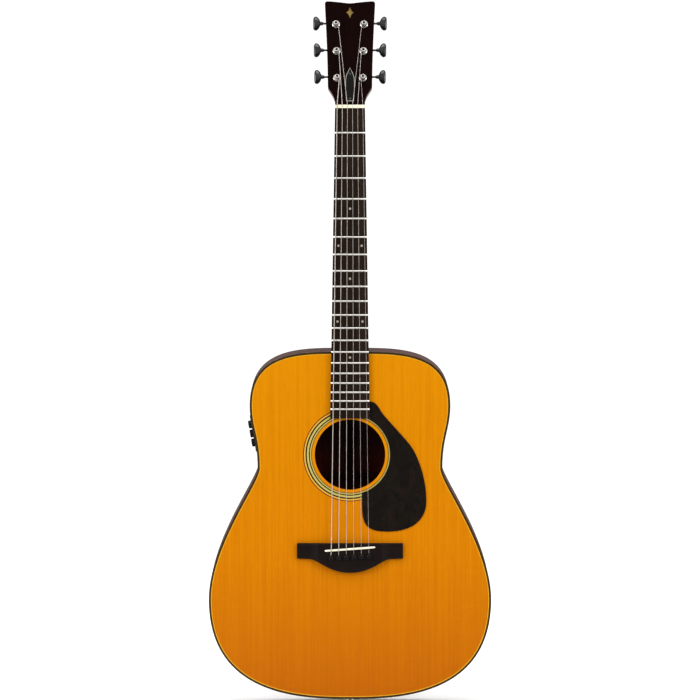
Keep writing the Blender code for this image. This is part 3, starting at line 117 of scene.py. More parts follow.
class Paint:
    """A material's node tree, with short calls for the nodes used here."""

    def __init__(self, name, roughness=0.4, metallic=0.0, coat=0.0, coat_roughness=0.04, specular=0.5):
        self.material = bpy.data.materials.new(name)
        self.material.use_nodes = True
        self.tree = self.material.node_tree
        self.shader = self.tree.nodes["Principled BSDF"]
        self.shader.inputs["Roughness"].default_value = roughness
        self.shader.inputs["Metallic"].default_value = metallic
        self.shader.inputs["Coat Weight"].default_value = coat
        self.shader.inputs["Coat Roughness"].default_value = coat_roughness
        self.shader.inputs["Specular IOR Level"].default_value = specular
        self.place = self.node("ShaderNodeTexCoord").outputs["Object"]

    def node(self, kind, **settings):
        item = self.tree.nodes.new(kind)
        for key, value in settings.items():
            setattr(item, key, value)
        return item

    def link(self, source, target):
        self.tree.links.new(source, target)

    def feed(self, socket, value):
        if isinstance(value, (int, float, tuple)):
            socket.default_value = value
        else:
            self.link(value, socket)

    def stretched(self, scale, turn=(0, 0, 0), source=None):
        item = self.node("ShaderNodeMapping")
        item.inputs["Scale"].default_value = scale
        item.inputs["Rotation"].default_value = turn
        self.link(source or self.place, item.inputs["Vector"])
        return item.outputs["Vector"]

    def noise(self, scale, detail=3.0, rough=0.55, distortion=0.0, source=None, turn=(0, 0, 0)):
        item = self.node("ShaderNodeTexNoise")
        item.inputs["Scale"].default_value = 1.0
        item.inputs["Detail"].default_value = detail
        item.inputs["Roughness"].default_value = rough
        item.inputs["Distortion"].default_value = distortion
        self.link(self.stretched(scale, turn, source), item.inputs["Vector"])
        return item.outputs["Fac"]

    def wave(self, scale, axis="X", profile="SIN", distortion=0.0, detail_scale=1.0, source=None):
        item = self.node("ShaderNodeTexWave", bands_direction=axis, wave_profile=profile)
        item.inputs["Scale"].default_value = scale
        item.inputs["Distortion"].default_value = distortion
        item.inputs["Detail Scale"].default_value = detail_scale
        self.link(source or self.place, item.inputs["Vector"])
        return item.outputs["Fac"]

    def math(self, operation, a, b=0.0, clamp=False):
        item = self.node("ShaderNodeMath", operation=operation, use_clamp=clamp)
        self.feed(item.inputs[0], a)
        self.feed(item.inputs[1], b)
        return item.outputs[0]

    def axis(self, index, source=None):
        item = self.node("ShaderNodeSeparateXYZ")
        self.link(source or self.place, item.inputs[0])
        return item.outputs[index]

    def ramp(self, value, stops, constant=False):
        item = self.node("ShaderNodeValToRGB")
        if constant:
            item.color_ramp.interpolation = "CONSTANT"
        points = item.color_ramp.elements
        points[0].position, points[0].color = stops[0]
        points[1].position, points[1].color = stops[-1]
        for position, colour in stops[1:-1]:
            points.new(position).color = colour
        self.link(value, item.inputs["Fac"])
        return item.outputs["Color"]

    def spread(self, value, low, high, to_low=0.0, to_high=1.0):
        item = self.node("ShaderNodeMapRange")
        self.link(value, item.inputs["Value"])
        for name, number in zip(("From Min", "From Max", "To Min", "To Max"), (low, high, to_low, to_high)):
            item.inputs[name].default_value = number
        return item.outputs["Result"]

    def mix(self, share, a, b, blend="MIX"):
        item = self.node("ShaderNodeMix", data_type="RGBA", blend_type=blend)
        self.feed(item.inputs["Factor"], share)
        self.feed(item.inputs["A"], a)
        self.feed(item.inputs["B"], b)
        return next(o for o in item.outputs if o.type == "RGBA")

    def colour(self, value):
        self.feed(self.shader.inputs["Base Color"], value)
        return self

    def rough(self, value):
        self.link(value, self.shader.inputs["Roughness"])
        return self

    def bump(self, height, distance, strength=1.0, after=None):
        item = self.node("ShaderNodeBump")
        item.inputs["Strength"].default_value = strength
        item.inputs["Distance"].default_value = distance
        self.link(height, item.inputs["Height"])
        if after is not None:
            self.link(after, item.inputs["Normal"])
        return item.outputs["Normal"]

    def normal(self, value):
        self.link(value, self.shader.inputs["Normal"])
        return self


def scaled(colour, factor):
    return (colour[0] * factor, colour[1] * factor, colour[2] * factor, 1.0)


def wood(name, dark, light, grain, fibre, roughness=0.4, coat=0.0, coat_roughness=0.04, pores=0.5,
         mirror=False,
         specular=0.5, bump=0.03):
    """Straight-grained wood: streaks, fine fibres, slow colour drift and short pores."""
    paint = Paint(name, roughness=roughness, coat=coat, coat_roughness=coat_roughness, specular=specular)
    source = paint.place
    if mirror:
        item = paint.node("ShaderNodeVectorMath", operation="ABSOLUTE")
        paint.link(source, item.inputs[0])
        source = item.outputs[0]
    streaks = paint.noise(grain, detail=4.0, distortion=0.35, source=source)
    fibres = paint.noise(fibre, detail=2.0, rough=0.6, source=source)
    drift = paint.noise(tuple(g / 14 for g in grain), detail=2.0, source=source)
    tone = paint.math("ADD", paint.math("MULTIPLY", streaks, 0.62), paint.math("MULTIPLY", drift, 0.38))
    base = paint.ramp(paint.spread(tone, 0.34, 0.66), [(0.0, dark), (1.0, light)])
    base = paint.mix(pores * 0.5, base, paint.ramp(fibres, [(0.40, scaled(dark, 0.5)), (0.62, light)]), "MIX")
    paint.colour(base)
    paint.rough(paint.spread(fibres, 0.3, 0.7, roughness - 0.06, roughness + 0.06))
    paint.normal(paint.bump(fibres, bump * MM, 0.5))
    return paint


def spruce(name, light):
    """The amber spruce top: growth lines that widen away from the seam, silk figure with its sheen painted as
    lighter streaks, and a deeper tail.
    """
    paint = Paint(name, roughness=0.5, specular=0.06)
    mirrored = paint.node("ShaderNodeVectorMath", operation="ABSOLUTE")
    paint.link(paint.place, mirrored.inputs[0])
    source = mirrored.outputs[0]
    wander = paint.noise((14.0, 14.0, 2.2), detail=2.0, source=source)
    x = paint.math("ADD", paint.axis(0, source), paint.math("MULTIPLY", wander, 0.010))
    lines = paint.math("FRACT", paint.math("MULTIPLY", paint.math("POWER", x, 0.92), 500.0))
    late = paint.ramp(lines, [(0.0, (0, 0, 0, 1)), (0.55, (0.25, 0.25, 0.25, 1)), (0.86, (1, 1, 1, 1)),
                              (1.0, (0, 0, 0, 1))])
    streaks = paint.noise((330.0, 330.0, 4.0), detail=4.0, source=source)
    fibres = paint.noise((1900.0, 1900.0, 45.0), detail=2.0, source=source)
    silk_sheen = paint.noise((26.0, 26.0, 210.0), detail=3.0, distortion=1.2, source=source)
    up = paint.spread(paint.axis(2), TAIL, TOP)
    body = paint.ramp(up, [(0.0, scaled(linear(172, 90, 0), light)),
                           (0.45, scaled(linear(206, 124, 0), light)),
                           (1.0, scaled(linear(218, 139, 0), light))])
    deep = paint.ramp(up, [(0.0, scaled(linear(150, 71, 0), light)),
                           (1.0, scaled(linear(196, 112, 0), light))])
    share = paint.math("MULTIPLY", late, paint.spread(streaks, 0.3, 0.7, 0.35, 0.95))
    base = paint.mix(paint.math("MULTIPLY", share, 0.42), body, deep)
    base = paint.mix(paint.spread(streaks, 0.42, 0.75, 0.0, 0.35), base, deep)
    # Silk figure: its sheen is painted into the colour as lighter streaks.
    base = paint.mix(paint.spread(silk_sheen, 0.58, 0.80, 0.0, 0.08), base, scaled(linear(236, 160, 20), light))
    base = paint.mix(paint.spread(fibres, 0.35, 0.7, 0.16, 0.0), base, scaled(linear(136, 62, 0), light))
    paint.colour(base)
    paint.rough(paint.spread(fibres, 0.3, 0.7, 0.36, 0.48))
    paint.normal(paint.bump(share, 0.02 * MM, 0.35))
    return paint


def plastic(name, colour, other, scale=300.0, roughness=0.2, coat=0.0, bump=0.01, specular=0.5):
    """Moulded or polished plastic: slight mottling, fine surface texture and uneven gloss."""
    paint = Paint(name, roughness=roughness, coat=coat, specular=specular)
    mottle = paint.noise((scale, scale, scale), detail=3.0)
    fine = paint.noise((scale * 12, scale * 12, scale * 12), detail=2.0)
    paint.colour(paint.ramp(mottle, [(0.35, colour), (0.68, other)]))
    paint.rough(paint.spread(paint.noise((60.0, 60.0, 60.0), detail=4.0), 0.3, 0.7, roughness * 0.8,
                             roughness * 1.25))
    paint.normal(paint.bump(fine, bump * MM, 0.6))
    return paint


def metal(name, colour, other, roughness=0.2, brushed=(500.0, 500.0, 500.0), bump=0.008):
    """Plated or drawn metal: faint tool marks, smudges and uneven gloss."""
    paint = Paint(name, roughness=roughness, metallic=1.0)
    marks = paint.noise(brushed, detail=3.0)
    smudge = paint.noise((90.0, 90.0, 90.0), detail=4.0)
    paint.colour(paint.ramp(paint.math("ADD", paint.math("MULTIPLY", marks, 0.4),
                                       paint.math("MULTIPLY", smudge, 0.6)),
                            [(0.35, other), (0.62, colour)]))
    paint.rough(paint.spread(smudge, 0.3, 0.72, roughness * 0.7, roughness * 1.5))
    paint.normal(paint.bump(marks, bump * MM, 0.5))
    return paint


def line_marks(paint, positions, width, base, colour, axis=0, source=None):
    """Colours thin lines of a width at the given places along an axis."""
    place = paint.axis(axis, source)
    for middle in positions:
        gap = paint.math("ABSOLUTE", paint.math("SUBTRACT", place, middle))
        base = paint.mix(paint.math("LESS_THAN", gap, width / 2), base, colour)
    return base


LIGHT = 1.0
SPRUCE = spruce("amber_spruce", LIGHT).material
RING_WOOD = spruce("rosette_spruce", LIGHT * 1.06).material
BODY_WOOD = wood("body_mahogany", linear(48, 10, 8), linear(96, 29, 20), (170, 170, 5), (900, 900, 60),
                 roughness=0.4, coat=0.12, coat_roughness=0.05, mirror=True, specular=0.1)
seam = BODY_WOOD.shader.inputs["Base Color"].links[0].from_socket
seam = line_marks(BODY_WOOD, (-1.6 * MM, 1.6 * MM), 0.7 * MM, seam, linear(40, 22, 14))
BODY_WOOD.colour(seam)
SIDE_WOOD = wood("side_mahogany", linear(44, 20, 18), linear(86, 52, 48), (150, 150, 6), (900, 900, 70),
                 roughness=0.5, coat=0.08, coat_roughness=0.05, specular=0.0)
NECK_WOOD = wood("neck_mahogany", linear(40, 16, 12), linear(84, 42, 30), (210, 210, 6), (1000, 1000, 55),
                 roughness=0.44, coat=0.08, coat_roughness=0.2, specular=0.15)
EBONY = wood("board_rosewood", linear(15, 9, 6), linear(42, 29, 20), (260, 260, 7), (1300, 1300, 60),
             roughness=0.5, pores=0.6, bump=0.05, specular=0.08)
BRIDGE_WOOD = wood("bridge_rosewood", linear(8, 5, 4), linear(26, 16, 12), (7, 260, 260), (50, 1300, 1300),
                   roughness=0.42, pores=0.5, bump=0.04, specular=0.12)
HEAD_GLOSS = wood("headstock_lacquer", linear(11, 2, 2), linear(21, 6, 5), (190, 190, 6), (1100, 1100, 50),
                  roughness=0.3, specular=0.02, bump=0.01)
# Wood for the braces, linings and blocks inside the body, darkened to near-black red: wood grain with painted
# shade.
INNER_SHADED_WOOD = wood("inner_wood_painted_shade", linear(30, 8, 6), linear(56, 18, 12), (240, 240, 8), (1000, 1000, 60),
             roughness=0.8, specular=0.05)
BINDING = plastic("binding_brown", linear(46, 33, 16), linear(66, 48, 26), 500.0, 0.45, specular=0.04)
LINE_AMBER = plastic("purfling_amber", linear(206, 150, 24), linear(220, 168, 44), 700.0, 0.45, specular=0.1)
LINE_DARK = plastic("purfling_dark", linear(48, 30, 10), linear(66, 42, 16), 700.0, 0.45, specular=0.1)
RING_DARK = plastic("rosette_brown", linear(36, 29, 10), linear(54, 42, 16), 900.0, 0.45, specular=0.1)
RING_OLIVE = plastic("rosette_olive", linear(112, 76, 22), linear(140, 98, 32), 900.0, 0.45, specular=0.1)
RING_CREAM = plastic("rosette_cream", linear(178, 164, 84), linear(198, 184, 106), 900.0, 0.45, specular=0.1)
RING_PALE = plastic("rosette_amber", linear(208, 156, 50), linear(222, 174, 72), 900.0, 0.45, specular=0.1)
RING_RED = plastic("rosette_red_brown", linear(92, 30, 10), linear(118, 44, 16), 900.0, 0.45, specular=0.1)
IVORY = plastic("ivory_bone", linear(236, 230, 200), linear(250, 246, 222), 240.0, 0.24, 0.1)
IVORY.shader.inputs["Subsurface Weight"].default_value = 0.08
IVORY.shader.inputs["Subsurface Scale"].default_value = 0.002
PEARL = plastic("pearl_dot", linear(150, 142, 126), linear(188, 180, 164), 1100.0, 0.25, specular=0.3)
# This black serves the black plastic parts and also paints the shade in the tuner posts' string holes and
# hollow tops.
BLACK_PLASTIC_AND_HOLE_SHADE = plastic("black_plastic_and_hole_shade", linear(9, 8, 8), linear(17, 15, 14), 420.0, 0.2, 0.04, specular=0.12)
MATTE = plastic("black_panel", linear(16, 16, 16), linear(27, 26, 25), 900.0, 0.46, bump=0.03)
PALE_LINE = plastic("pale_line", linear(160, 158, 146), linear(182, 180, 168), 900.0, 0.4, specular=0.2)
NICKEL = metal("nickel_plate", (0.76, 0.74, 0.70, 1), (0.56, 0.54, 0.50, 1), 0.14)
FRET = metal("fret_wire", (0.88, 0.86, 0.81, 1), (0.72, 0.70, 0.65, 1), 0.3, (60, 1500, 1500))
SMOKED = metal("smoked_nickel", (0.075, 0.075, 0.075, 1), (0.035, 0.035, 0.035, 1), 0.12)
BLACKENED = metal("blackened_screw", (0.10, 0.10, 0.10, 1), (0.05, 0.05, 0.05, 1), 0.3)
GOLD = metal("gold_inlay", (0.27, 0.19, 0.06, 1), (0.18, 0.12, 0.035, 1), 0.35)
STEEL = metal("rod_steel", (0.5, 0.5, 0.5, 1), (0.33, 0.33, 0.33, 1), 0.35)
PLAIN = metal("plain_steel", (0.80, 0.76, 0.72, 1), (0.66, 0.62, 0.58, 1), 0.4, (1500, 1500, 60))


def wound_metal():
    paint = Paint("wound_bronze", roughness=0.3, metallic=1.0)
    turns = paint.wave(2 * math.pi / (20 * 0.55 * MM), "Z")
    tarnish = paint.noise((900.0, 900.0, 30.0), detail=3.0)
    colour = paint.ramp(tarnish, [(0.3, (0.46, 0.41, 0.37, 1)), (0.7, (0.64, 0.58, 0.53, 1))])
    # The darker colour between the turns is painted shade in the grooves of the winding.
    paint.colour(paint.mix(paint.spread(turns, 0.0, 0.35, 0.35, 0.0), colour, (0.14, 0.10, 0.08, 1)))
    paint.rough(paint.spread(tarnish, 0.3, 0.7, 0.24, 0.4))
    paint.normal(paint.bump(turns, 0.12 * MM, 0.8))
    return paint


def guard_plastic():
    """Near-black tortoise: deep brown and red clouds under gloss."""
    paint = Paint("tortoise_guard", roughness=0.2, coat=0.12, coat_roughness=0.03, specular=0.2)
    clouds = paint.noise((52.0, 52.0, 38.0), detail=4.0, distortion=1.6)
    flecks = paint.noise((210.0, 210.0, 150.0), detail=3.0, distortion=0.8)
    base = paint.ramp(clouds, [(0.36, linear(17, 14, 11)), (0.56, linear(23, 19, 15)),
                               (0.74, linear(33, 20, 14))])
    base = paint.mix(paint.spread(flecks, 0.60, 0.76, 0.0, 0.35), base, linear(42, 23, 14))
    paint.colour(base)
    paint.rough(paint.spread(paint.noise((40.0, 40.0, 40.0), detail=4.0), 0.3, 0.7, 0.12, 0.22))
    return paint


WOUND_METAL = wound_metal()
GUARD = guard_plastic()


# Shapes


def finish_mesh(name, shape, paint, body="guitar", slot=None, replaces=(), place=None, angle=35.0,
                rounding=0.0,
                segments=2, smooth=True):
    """Puts a bmesh into the scene as a piece that rides on a body."""
    bmesh.ops.remove_doubles(shape, verts=shape.verts, dist=0.002 * MM)
    bmesh.ops.recalc_face_normals(shape, faces=shape.faces)
    mesh = bpy.data.meshes.new(name)
    shape.to_mesh(mesh)
    shape.free()
    if place is not None:
        mesh.transform(place)
    for polygon in mesh.polygons:
        polygon.use_smooth = smooth
    if smooth:
        mesh.set_sharp_from_angle(angle=math.radians(angle))
    item = bpy.data.objects.new(name, mesh)
    bpy.context.scene.collection.objects.link(item)
    mesh.materials.append(paint if isinstance(paint, bpy.types.Material) else paint.material)
    if rounding:
        edge = item.modifiers.new("Rounding", "BEVEL")
        edge.width = rounding
        edge.segments = segments
        edge.limit_method = "ANGLE"
        edge.angle_limit = math.radians(40)
        edge.harden_normals = True
    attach(item, body)
    if replaces:
        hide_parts(*replaces)
    return item


def skin(rings, closed_ends=True, closed_rings=True):
    """A bmesh through rings of equal length."""
    shape = bmesh.new()
    rows = [[shape.verts.new(point) for point in ring] for ring in rings]
    count = len(rows[0])
    for row, following in zip(rows, rows[1:]):
        for i in range(count if closed_rings else count - 1):
            j = (i + 1) % count
            shape.faces.new((row[i], row[j], following[j], following[i]))
    if closed_ends:
        shape.faces.new(list(reversed(rows[0])))
        shape.faces.new(rows[-1])
    return shape


def slab(name, loops, low, high, paint, place=FACE, **settings):
    """A flat outline with its holes, filled between two heights of a frame."""
    curve = bpy.data.curves.new(name + "_outline", "CURVE")
    curve.dimensions = "2D"
    curve.fill_mode = "BOTH"
    curve.extrude = (high - low) / 2
    for loop in loops:
        spline = curve.splines.new("POLY")
        spline.points.add(len(loop) - 1)
        for point, at in zip(spline.points, loop):
            point.co = (at[0], at[1], 0, 1)
        spline.use_cyclic_u = True
    holder = bpy.data.objects.new(name + "_outline", curve)
    bpy.context.scene.collection.objects.link(holder)
    bpy.context.view_layer.update()
    mesh = bpy.data.meshes.new_from_object(holder.evaluated_get(bpy.context.evaluated_depsgraph_get()))
    bpy.data.objects.remove(holder, do_unlink=True)
    bpy.data.curves.remove(curve)
    shape = bmesh.new()
    shape.from_mesh(mesh)
    bpy.data.meshes.remove(mesh)
    settings.setdefault("smooth", True)
    return finish_mesh(name, shape, paint, place=place @ Matrix.Translation((0, 0, (low + high) / 2)),
                       **settings)


def turned_shape(profile, steps=40, place=None, shape=None, caps=True):
    """Turns (radius, height) points about a frame's axis."""
    shape = shape or bmesh.new()
    rows = []
    for radius, height in profile:
        row = []
        for k in range(steps):
            turn = 2 * math.pi * k / steps
            at = Vector((radius * math.cos(turn), radius * math.sin(turn), height))
            row.append(shape.verts.new(place @ at if place else at))
        rows.append(row)
    for row, following in zip(rows, rows[1:]):
        for i in range(steps):
            j = (i + 1) % steps
            shape.faces.new((row[i], row[j], following[j], following[i]))
    if caps:
        shape.faces.new(rows[0])
        shape.faces.new(list(reversed(rows[-1])))
    return shape


def rounded(profile, radius, steps=3):
    """A profile whose inner corners are rounded."""
    points = [Vector(p) for p in profile]
    smooth = [points[0]]
    for before, corner, after in zip(points, points[1:], points[2:]):
        back = (before - corner)
        ahead = (after - corner)
        cut = min(radius, back.length * 0.45, ahead.length * 0.45)
        start = corner + back.normalized() * cut
        end = corner + ahead.normalized() * cut
        for k in range(steps + 1):
            t = k / steps
            smooth.append(start * (1 - t) ** 2 + corner * 2 * t * (1 - t) + end * t * t)
    smooth.append(points[-1])
    return [tuple(p) for p in smooth]


def circle(radius, centre, sides=96):
    turns = [2 * math.pi * i / sides for i in range(sides)]
    return [(centre[0] + radius * math.cos(a), centre[1] + radius * math.sin(a)) for a in turns]


def bezier(start, first, second, end, steps):
    corners = [Vector(p) for p in (start, first, second, end)]
    points = []
    for i in range(steps):
        t = i / steps
        weights = ((1 - t) ** 3, 3 * (1 - t) ** 2 * t, 3 * (1 - t) * t * t, t**3)
        point = sum((c * w for c, w in zip(corners, weights)), Vector((0, 0)))
        points.append((point.x, point.y))
    return points


def smoothed(points, parts=4):
    """Catmull-Rom points through a list of points of any size."""
    points = [Vector(p) for p in points]
    ends = [points[0] * 2 - points[1]] + points + [points[-1] * 2 - points[-2]]
    result = []
    for a, b, c, d in zip(ends, ends[1:], ends[2:], ends[3:]):
        for k in range(parts):
            t = k / parts
            result.append(((2 * b) + (c - a) * t + (2 * a - 5 * b + 4 * c - d) * t * t
                           + (3 * b - a - 3 * c + d) * t**3) / 2)
    result.append(points[-1])
    return [tuple(p) for p in result]


def mirrored(half):
    return half + [(-x, up) for x, up in reversed(half) if x > 1e-7]


def wire(name, path, radius, paint, sides=12, **settings):
    """A round wire along points, with flat ends."""
    points = [Vector(p) for p in path]
    rings = []
    side = None
    for i, point in enumerate(points):
        ahead = (points[min(i + 1, len(points) - 1)] - points[max(i - 1, 0)]).normalized()
        if side is None:
            side = ahead.orthogonal().normalized()
        side = (side - ahead * side.dot(ahead)).normalized()
        other = ahead.cross(side)
        turns = [2 * math.pi * k / sides for k in range(sides)]
        rings.append([point + (side * math.cos(a) + other * math.sin(a)) * radius for a in turns])
    return finish_mesh(name, skin(rings), paint, **settings)


# Body


def half_outline(parts=4):
    """The body's right half from the neck end to the tail, sized to the frame's binding."""
    width = TOP_HIGH[0] - TOP_LOW[0]
    across = width / (415.7 * MM)
    high = LENGTH / (512.4 * MM)

    def at(x, up):
        return Vector((x * MM * across, up * MM * high))

    top = (at(0, 0) + Vector((0, TOP)))
    upper = at(147.35, -79.0) + Vector((0, TOP))
    waist = at(135.75, -171.3) + Vector((0, TOP))
    lower = at(207.85, 147.0) + Vector((0, TAIL))
    tail = Vector((0, TAIL))
    curves = (
        (top, at(66.8, 0), at(0, 83.8), upper, 9),
        (upper, at(0, -34.1), at(0, 45.4), waist, 5),
        (waist, at(0, -21.8), at(0, 80.7), lower, 7),
        (lower, at(0, -145.7), at(67.0, 0), tail, 11),
    )
    points = []
    for start, leave, arrive, end, steps in curves:
        points += bezier(start, start + leave, end + arrive, end, steps * parts)
    return points + [(0, TAIL)]


HALF = half_outline()


def inset_half(distance):
    points = [Vector(p) for p in HALF]
    moved = []
    for i, point in enumerate(points):
        before = (point - points[i - 1]).normalized() if i > 0 else Vector((1, 0))
        after = (points[i + 1] - point).normalized() if i + 1 < len(points) else Vector((-1, 0))
        inward = Vector((before.y + after.y, -before.x - after.x)).normalized()
        reach = distance / inward.dot(Vector((after.y, -after.x)))
        moved.append((point.x + inward.x * reach, point.y + inward.y * reach))
    moved[0] = (0, moved[0][1])
    moved[-1] = (0, moved[-1][1])
    return moved


def outline(distance):
    return mirrored(inset_half(distance))


def back_depth(x, up):
    """Depth of the domed back behind the soundboard's front."""
    along = (up - TAIL) / LENGTH
    half = LENGTH / 2
    slope = (117.92 + (100.0 - 118.0) * along) * MM
    return slope + (half**2 - (up - TAIL - half) ** 2 - x**2) / (2 * 4500.0 * MM)


def rim(name, section, paint, half=0, **settings):
    """A strip round the outline; its section is (inset, height) with height from a function of place."""
    shape = bmesh.new()
    rows = []
    for distance, height in section:
        loop = inset_half(distance)
        if half:
            loop = [(half * max(x, 0.15 * MM), up) for x, up in loop]
        else:
            loop = mirrored(loop)
        rows.append([shape.verts.new((x, up, height(x, up))) for x, up in loop])
    count = len(rows[0])
    for row, following in zip(rows, rows[1:] + rows[:1]):
        for i in range(count - 1 if half else count):
            j = (i + 1) % count
            shape.faces.new((row[i], row[j], following[j], following[i]))
    if half:
        shape.faces.new([row[0] for row in rows])
        shape.faces.new([row[-1] for row in reversed(rows)])
    return finish_mesh(name, shape, paint, place=FACE, **settings)


def level(height):
    return lambda x, up: height


def behind(height):
    return lambda x, up: -back_depth(x, up) + height


CENTRE = (0, HOLE)
LINE_DARK_IN, LINE_LIGHT_IN, TOP_IN = WALL, WALL + 0.7 * MM, WALL + 1.7 * MM
slab("top_plate", [outline(TOP_IN), circle(RING_OUTER, CENTRE, 120)], -3.0 * MM, 0, SPRUCE,
     replaces=("soundboard",),
     slot="amber_top")
slab("hole_ring", [circle(RING_OUTER - 13.1 * MM, CENTRE, 120), circle(HOLE_RADIUS, CENTRE, 120)], -3.0 * MM,
     0,
     RING_WOOD, slot="amber_top", rounding=0.35 * MM, segments=3)
RINGS = ((13.1, 11.6, RING_OLIVE), (11.6, 10.2, RING_CREAM), (10.2, 8.4, RING_DARK), (8.4, 5.7, RING_CREAM),
         (5.7, 3.5, RING_DARK), (3.5, 1.4, RING_PALE), (1.4, 0.0, RING_RED))
for i, (inner, outer, paint) in enumerate(RINGS):
    loops = [circle(RING_OUTER - outer * MM, CENTRE, 120), circle(RING_OUTER - inner * MM, CENTRE, 120)]
    slab(f"rosette_band_{i + 1}", loops, -1.2 * MM, -0.01 * MM, paint, slot="inlay",
         replaces=("rosette",) if i == 0 else ())

rim("purfling_dark_line", [(LINE_DARK_IN, level(0)), (LINE_LIGHT_IN, level(0)),
                           (LINE_LIGHT_IN, level(-1.5 * MM)),
                           (LINE_DARK_IN, level(-1.5 * MM))], LINE_DARK, slot="binding")
rim("purfling_amber_line", [(LINE_LIGHT_IN, level(0)), (TOP_IN, level(0)), (TOP_IN, level(-1.5 * MM)),
                            (LINE_LIGHT_IN, level(-1.5 * MM))], LINE_AMBER, slot="binding")
ROUND_EDGE = [(1.1, 0.0), (0.62, 0.08), (0.3, 0.24), (0.08, 0.58), (0.0, 1.1)]
rim("top_binding_strip", [(WALL, level(-BINDING_HEIGHT)), (WALL, level(0))]
    + [(a * MM, level(-b * MM)) for a, b in ROUND_EDGE] + [(0, level(-BINDING_HEIGHT))], BINDING,
    replaces=("top_binding",), slot="binding")
rim("back_binding_strip", [(WALL, behind(BINDING_HEIGHT)), (WALL, behind(0))]
    + [(a * MM, behind(b * MM)) for a, b in ROUND_EDGE] + [(0, behind(BINDING_HEIGHT))], BINDING,
    replaces=("back_binding",), slot="binding")
for side, word in ((-1, "bass"), (1, "treble")):
    rim(f"side_{word}_panel", [(WALL, level(-BINDING_HEIGHT - 0.05 * MM)),
                               (0, level(-BINDING_HEIGHT - 0.05 * MM)),
                               (0, behind(BINDING_HEIGHT + 0.05 * MM)),
                               (WALL, behind(BINDING_HEIGHT + 0.05 * MM))],
        SIDE_WOOD, half=side, replaces=(f"side_{word}",), slot="body_wood")


def make_back():
    """The domed back, ruled across between its two edges."""
    shape = bmesh.new()
    columns = 28
    sheets = []
    for offset in (0, 2.5 * MM):
        rows = []
        for x_edge, up in inset_half(WALL + 0.02 * MM):
            xs = [x_edge * (2 * k / columns - 1) for k in range(columns + 1)]
            rows.append([shape.verts.new((x, up, -back_depth(x, up) + offset)) for x in xs])
        sheets.append(rows)
        for row, following in zip(rows, rows[1:]):
            for k in range(columns):
                shape.faces.new((row[k], row[k + 1], following[k + 1], following[k]))
    outer, inner = sheets
    for edge in (0, columns):
        for j in range(len(outer) - 1):
            shape.faces.new((outer[j][edge], outer[j + 1][edge], inner[j + 1][edge], inner[j][edge]))
    bmesh.ops.dissolve_degenerate(shape, edges=shape.edges, dist=0.001 * MM)
    finish_mesh("back_panel", shape, BODY_WOOD, place=FACE, replaces=("back_plate",), slot="body_wood")


make_back()
# The parts inside the body take the darkened wood with painted shade; the truss rod takes steel.
for node in ("x_brace", "upper_brace", "top_lining_bass", "top_lining_treble", "back_lining_bass",
             "back_lining_treble", "neck_block", "tail_block", "back_bracing", "truss_rod"):
    item = frame["nodes"][node]
    item.data.materials.clear()
    item.data.materials.append(STEEL.material if node == "truss_rod" else INNER_SHADED_WOOD.material)


# Pickguard, bridge, saddle and pins


def half_board(up):
    along = (NUT - up) / JOIN
    return (NUT_WIDTH + (JOIN_WIDTH - NUT_WIDTH) * along) / 2


def crown(x):
    return x * x / (2 * BOARD_RADIUS)


def make_guard():
    beside = 0.4 * MM

    def at(x, up):
        return (x * MM, HOLE + up * MM)

    start_up = HOLE + 78.4 * MM
    start = (half_board(start_up) + beside, start_up)
    curves = (
        (start, at(37, 78.6), at(41, 72), at(44.5, 65.5), 12),
        (at(44.5, 65.5), at(49, 57), at(76, 30), at(88.1, 14.5), 20),
        (at(88.1, 14.5), at(100, -1), at(112.1, -35), at(112.1, -67.9), 24),
        (at(112.1, -67.9), at(112.1, -102), at(84, -113.3), at(55.3, -113.3), 24),
        (at(55.3, -113.3), at(27, -113.3), at(17.6, -106), at(17.6, -74.6), 20),
    )
    loop = []
    for corners in curves:
        loop += bezier(*corners)
    radius = 59.0 * MM
    low = -math.acos(17.6 * MM / radius)
    edge = half_board(BOARD_END) + beside
    high = math.acos(edge / radius)
    for i in range(61):
        turn = low + (high - low) * i / 60
        loop.append((radius * math.cos(turn), HOLE + radius * math.sin(turn)))
    loop.append((edge, BOARD_END))
    slab("pickguard_sheet", [loop], 0.02 * MM, 1.25 * MM, GUARD, rounding=0.45 * MM, segments=3,
         replaces=("pickguard",), slot="guard")


make_guard()


def bridge_edges():
    """The bridge's lower edge as (x, up) for x from the centre to its right end, and its top edge."""
    top = SADDLE + 8.4 * MM
    wing = top - 22.9 * MM
    belly = wing - 20.6 * MM
    half = 78.0 * MM
    reach = 61.0 * MM
    curve = bezier((0, belly), (reach * 0.55, belly), (reach * 0.75, wing - 0.5 * MM),
                   (reach, wing - 0.5 * MM), 60)
    return top, wing, half, reach, curve + [(reach, wing - 0.5 * MM), (half, wing)]


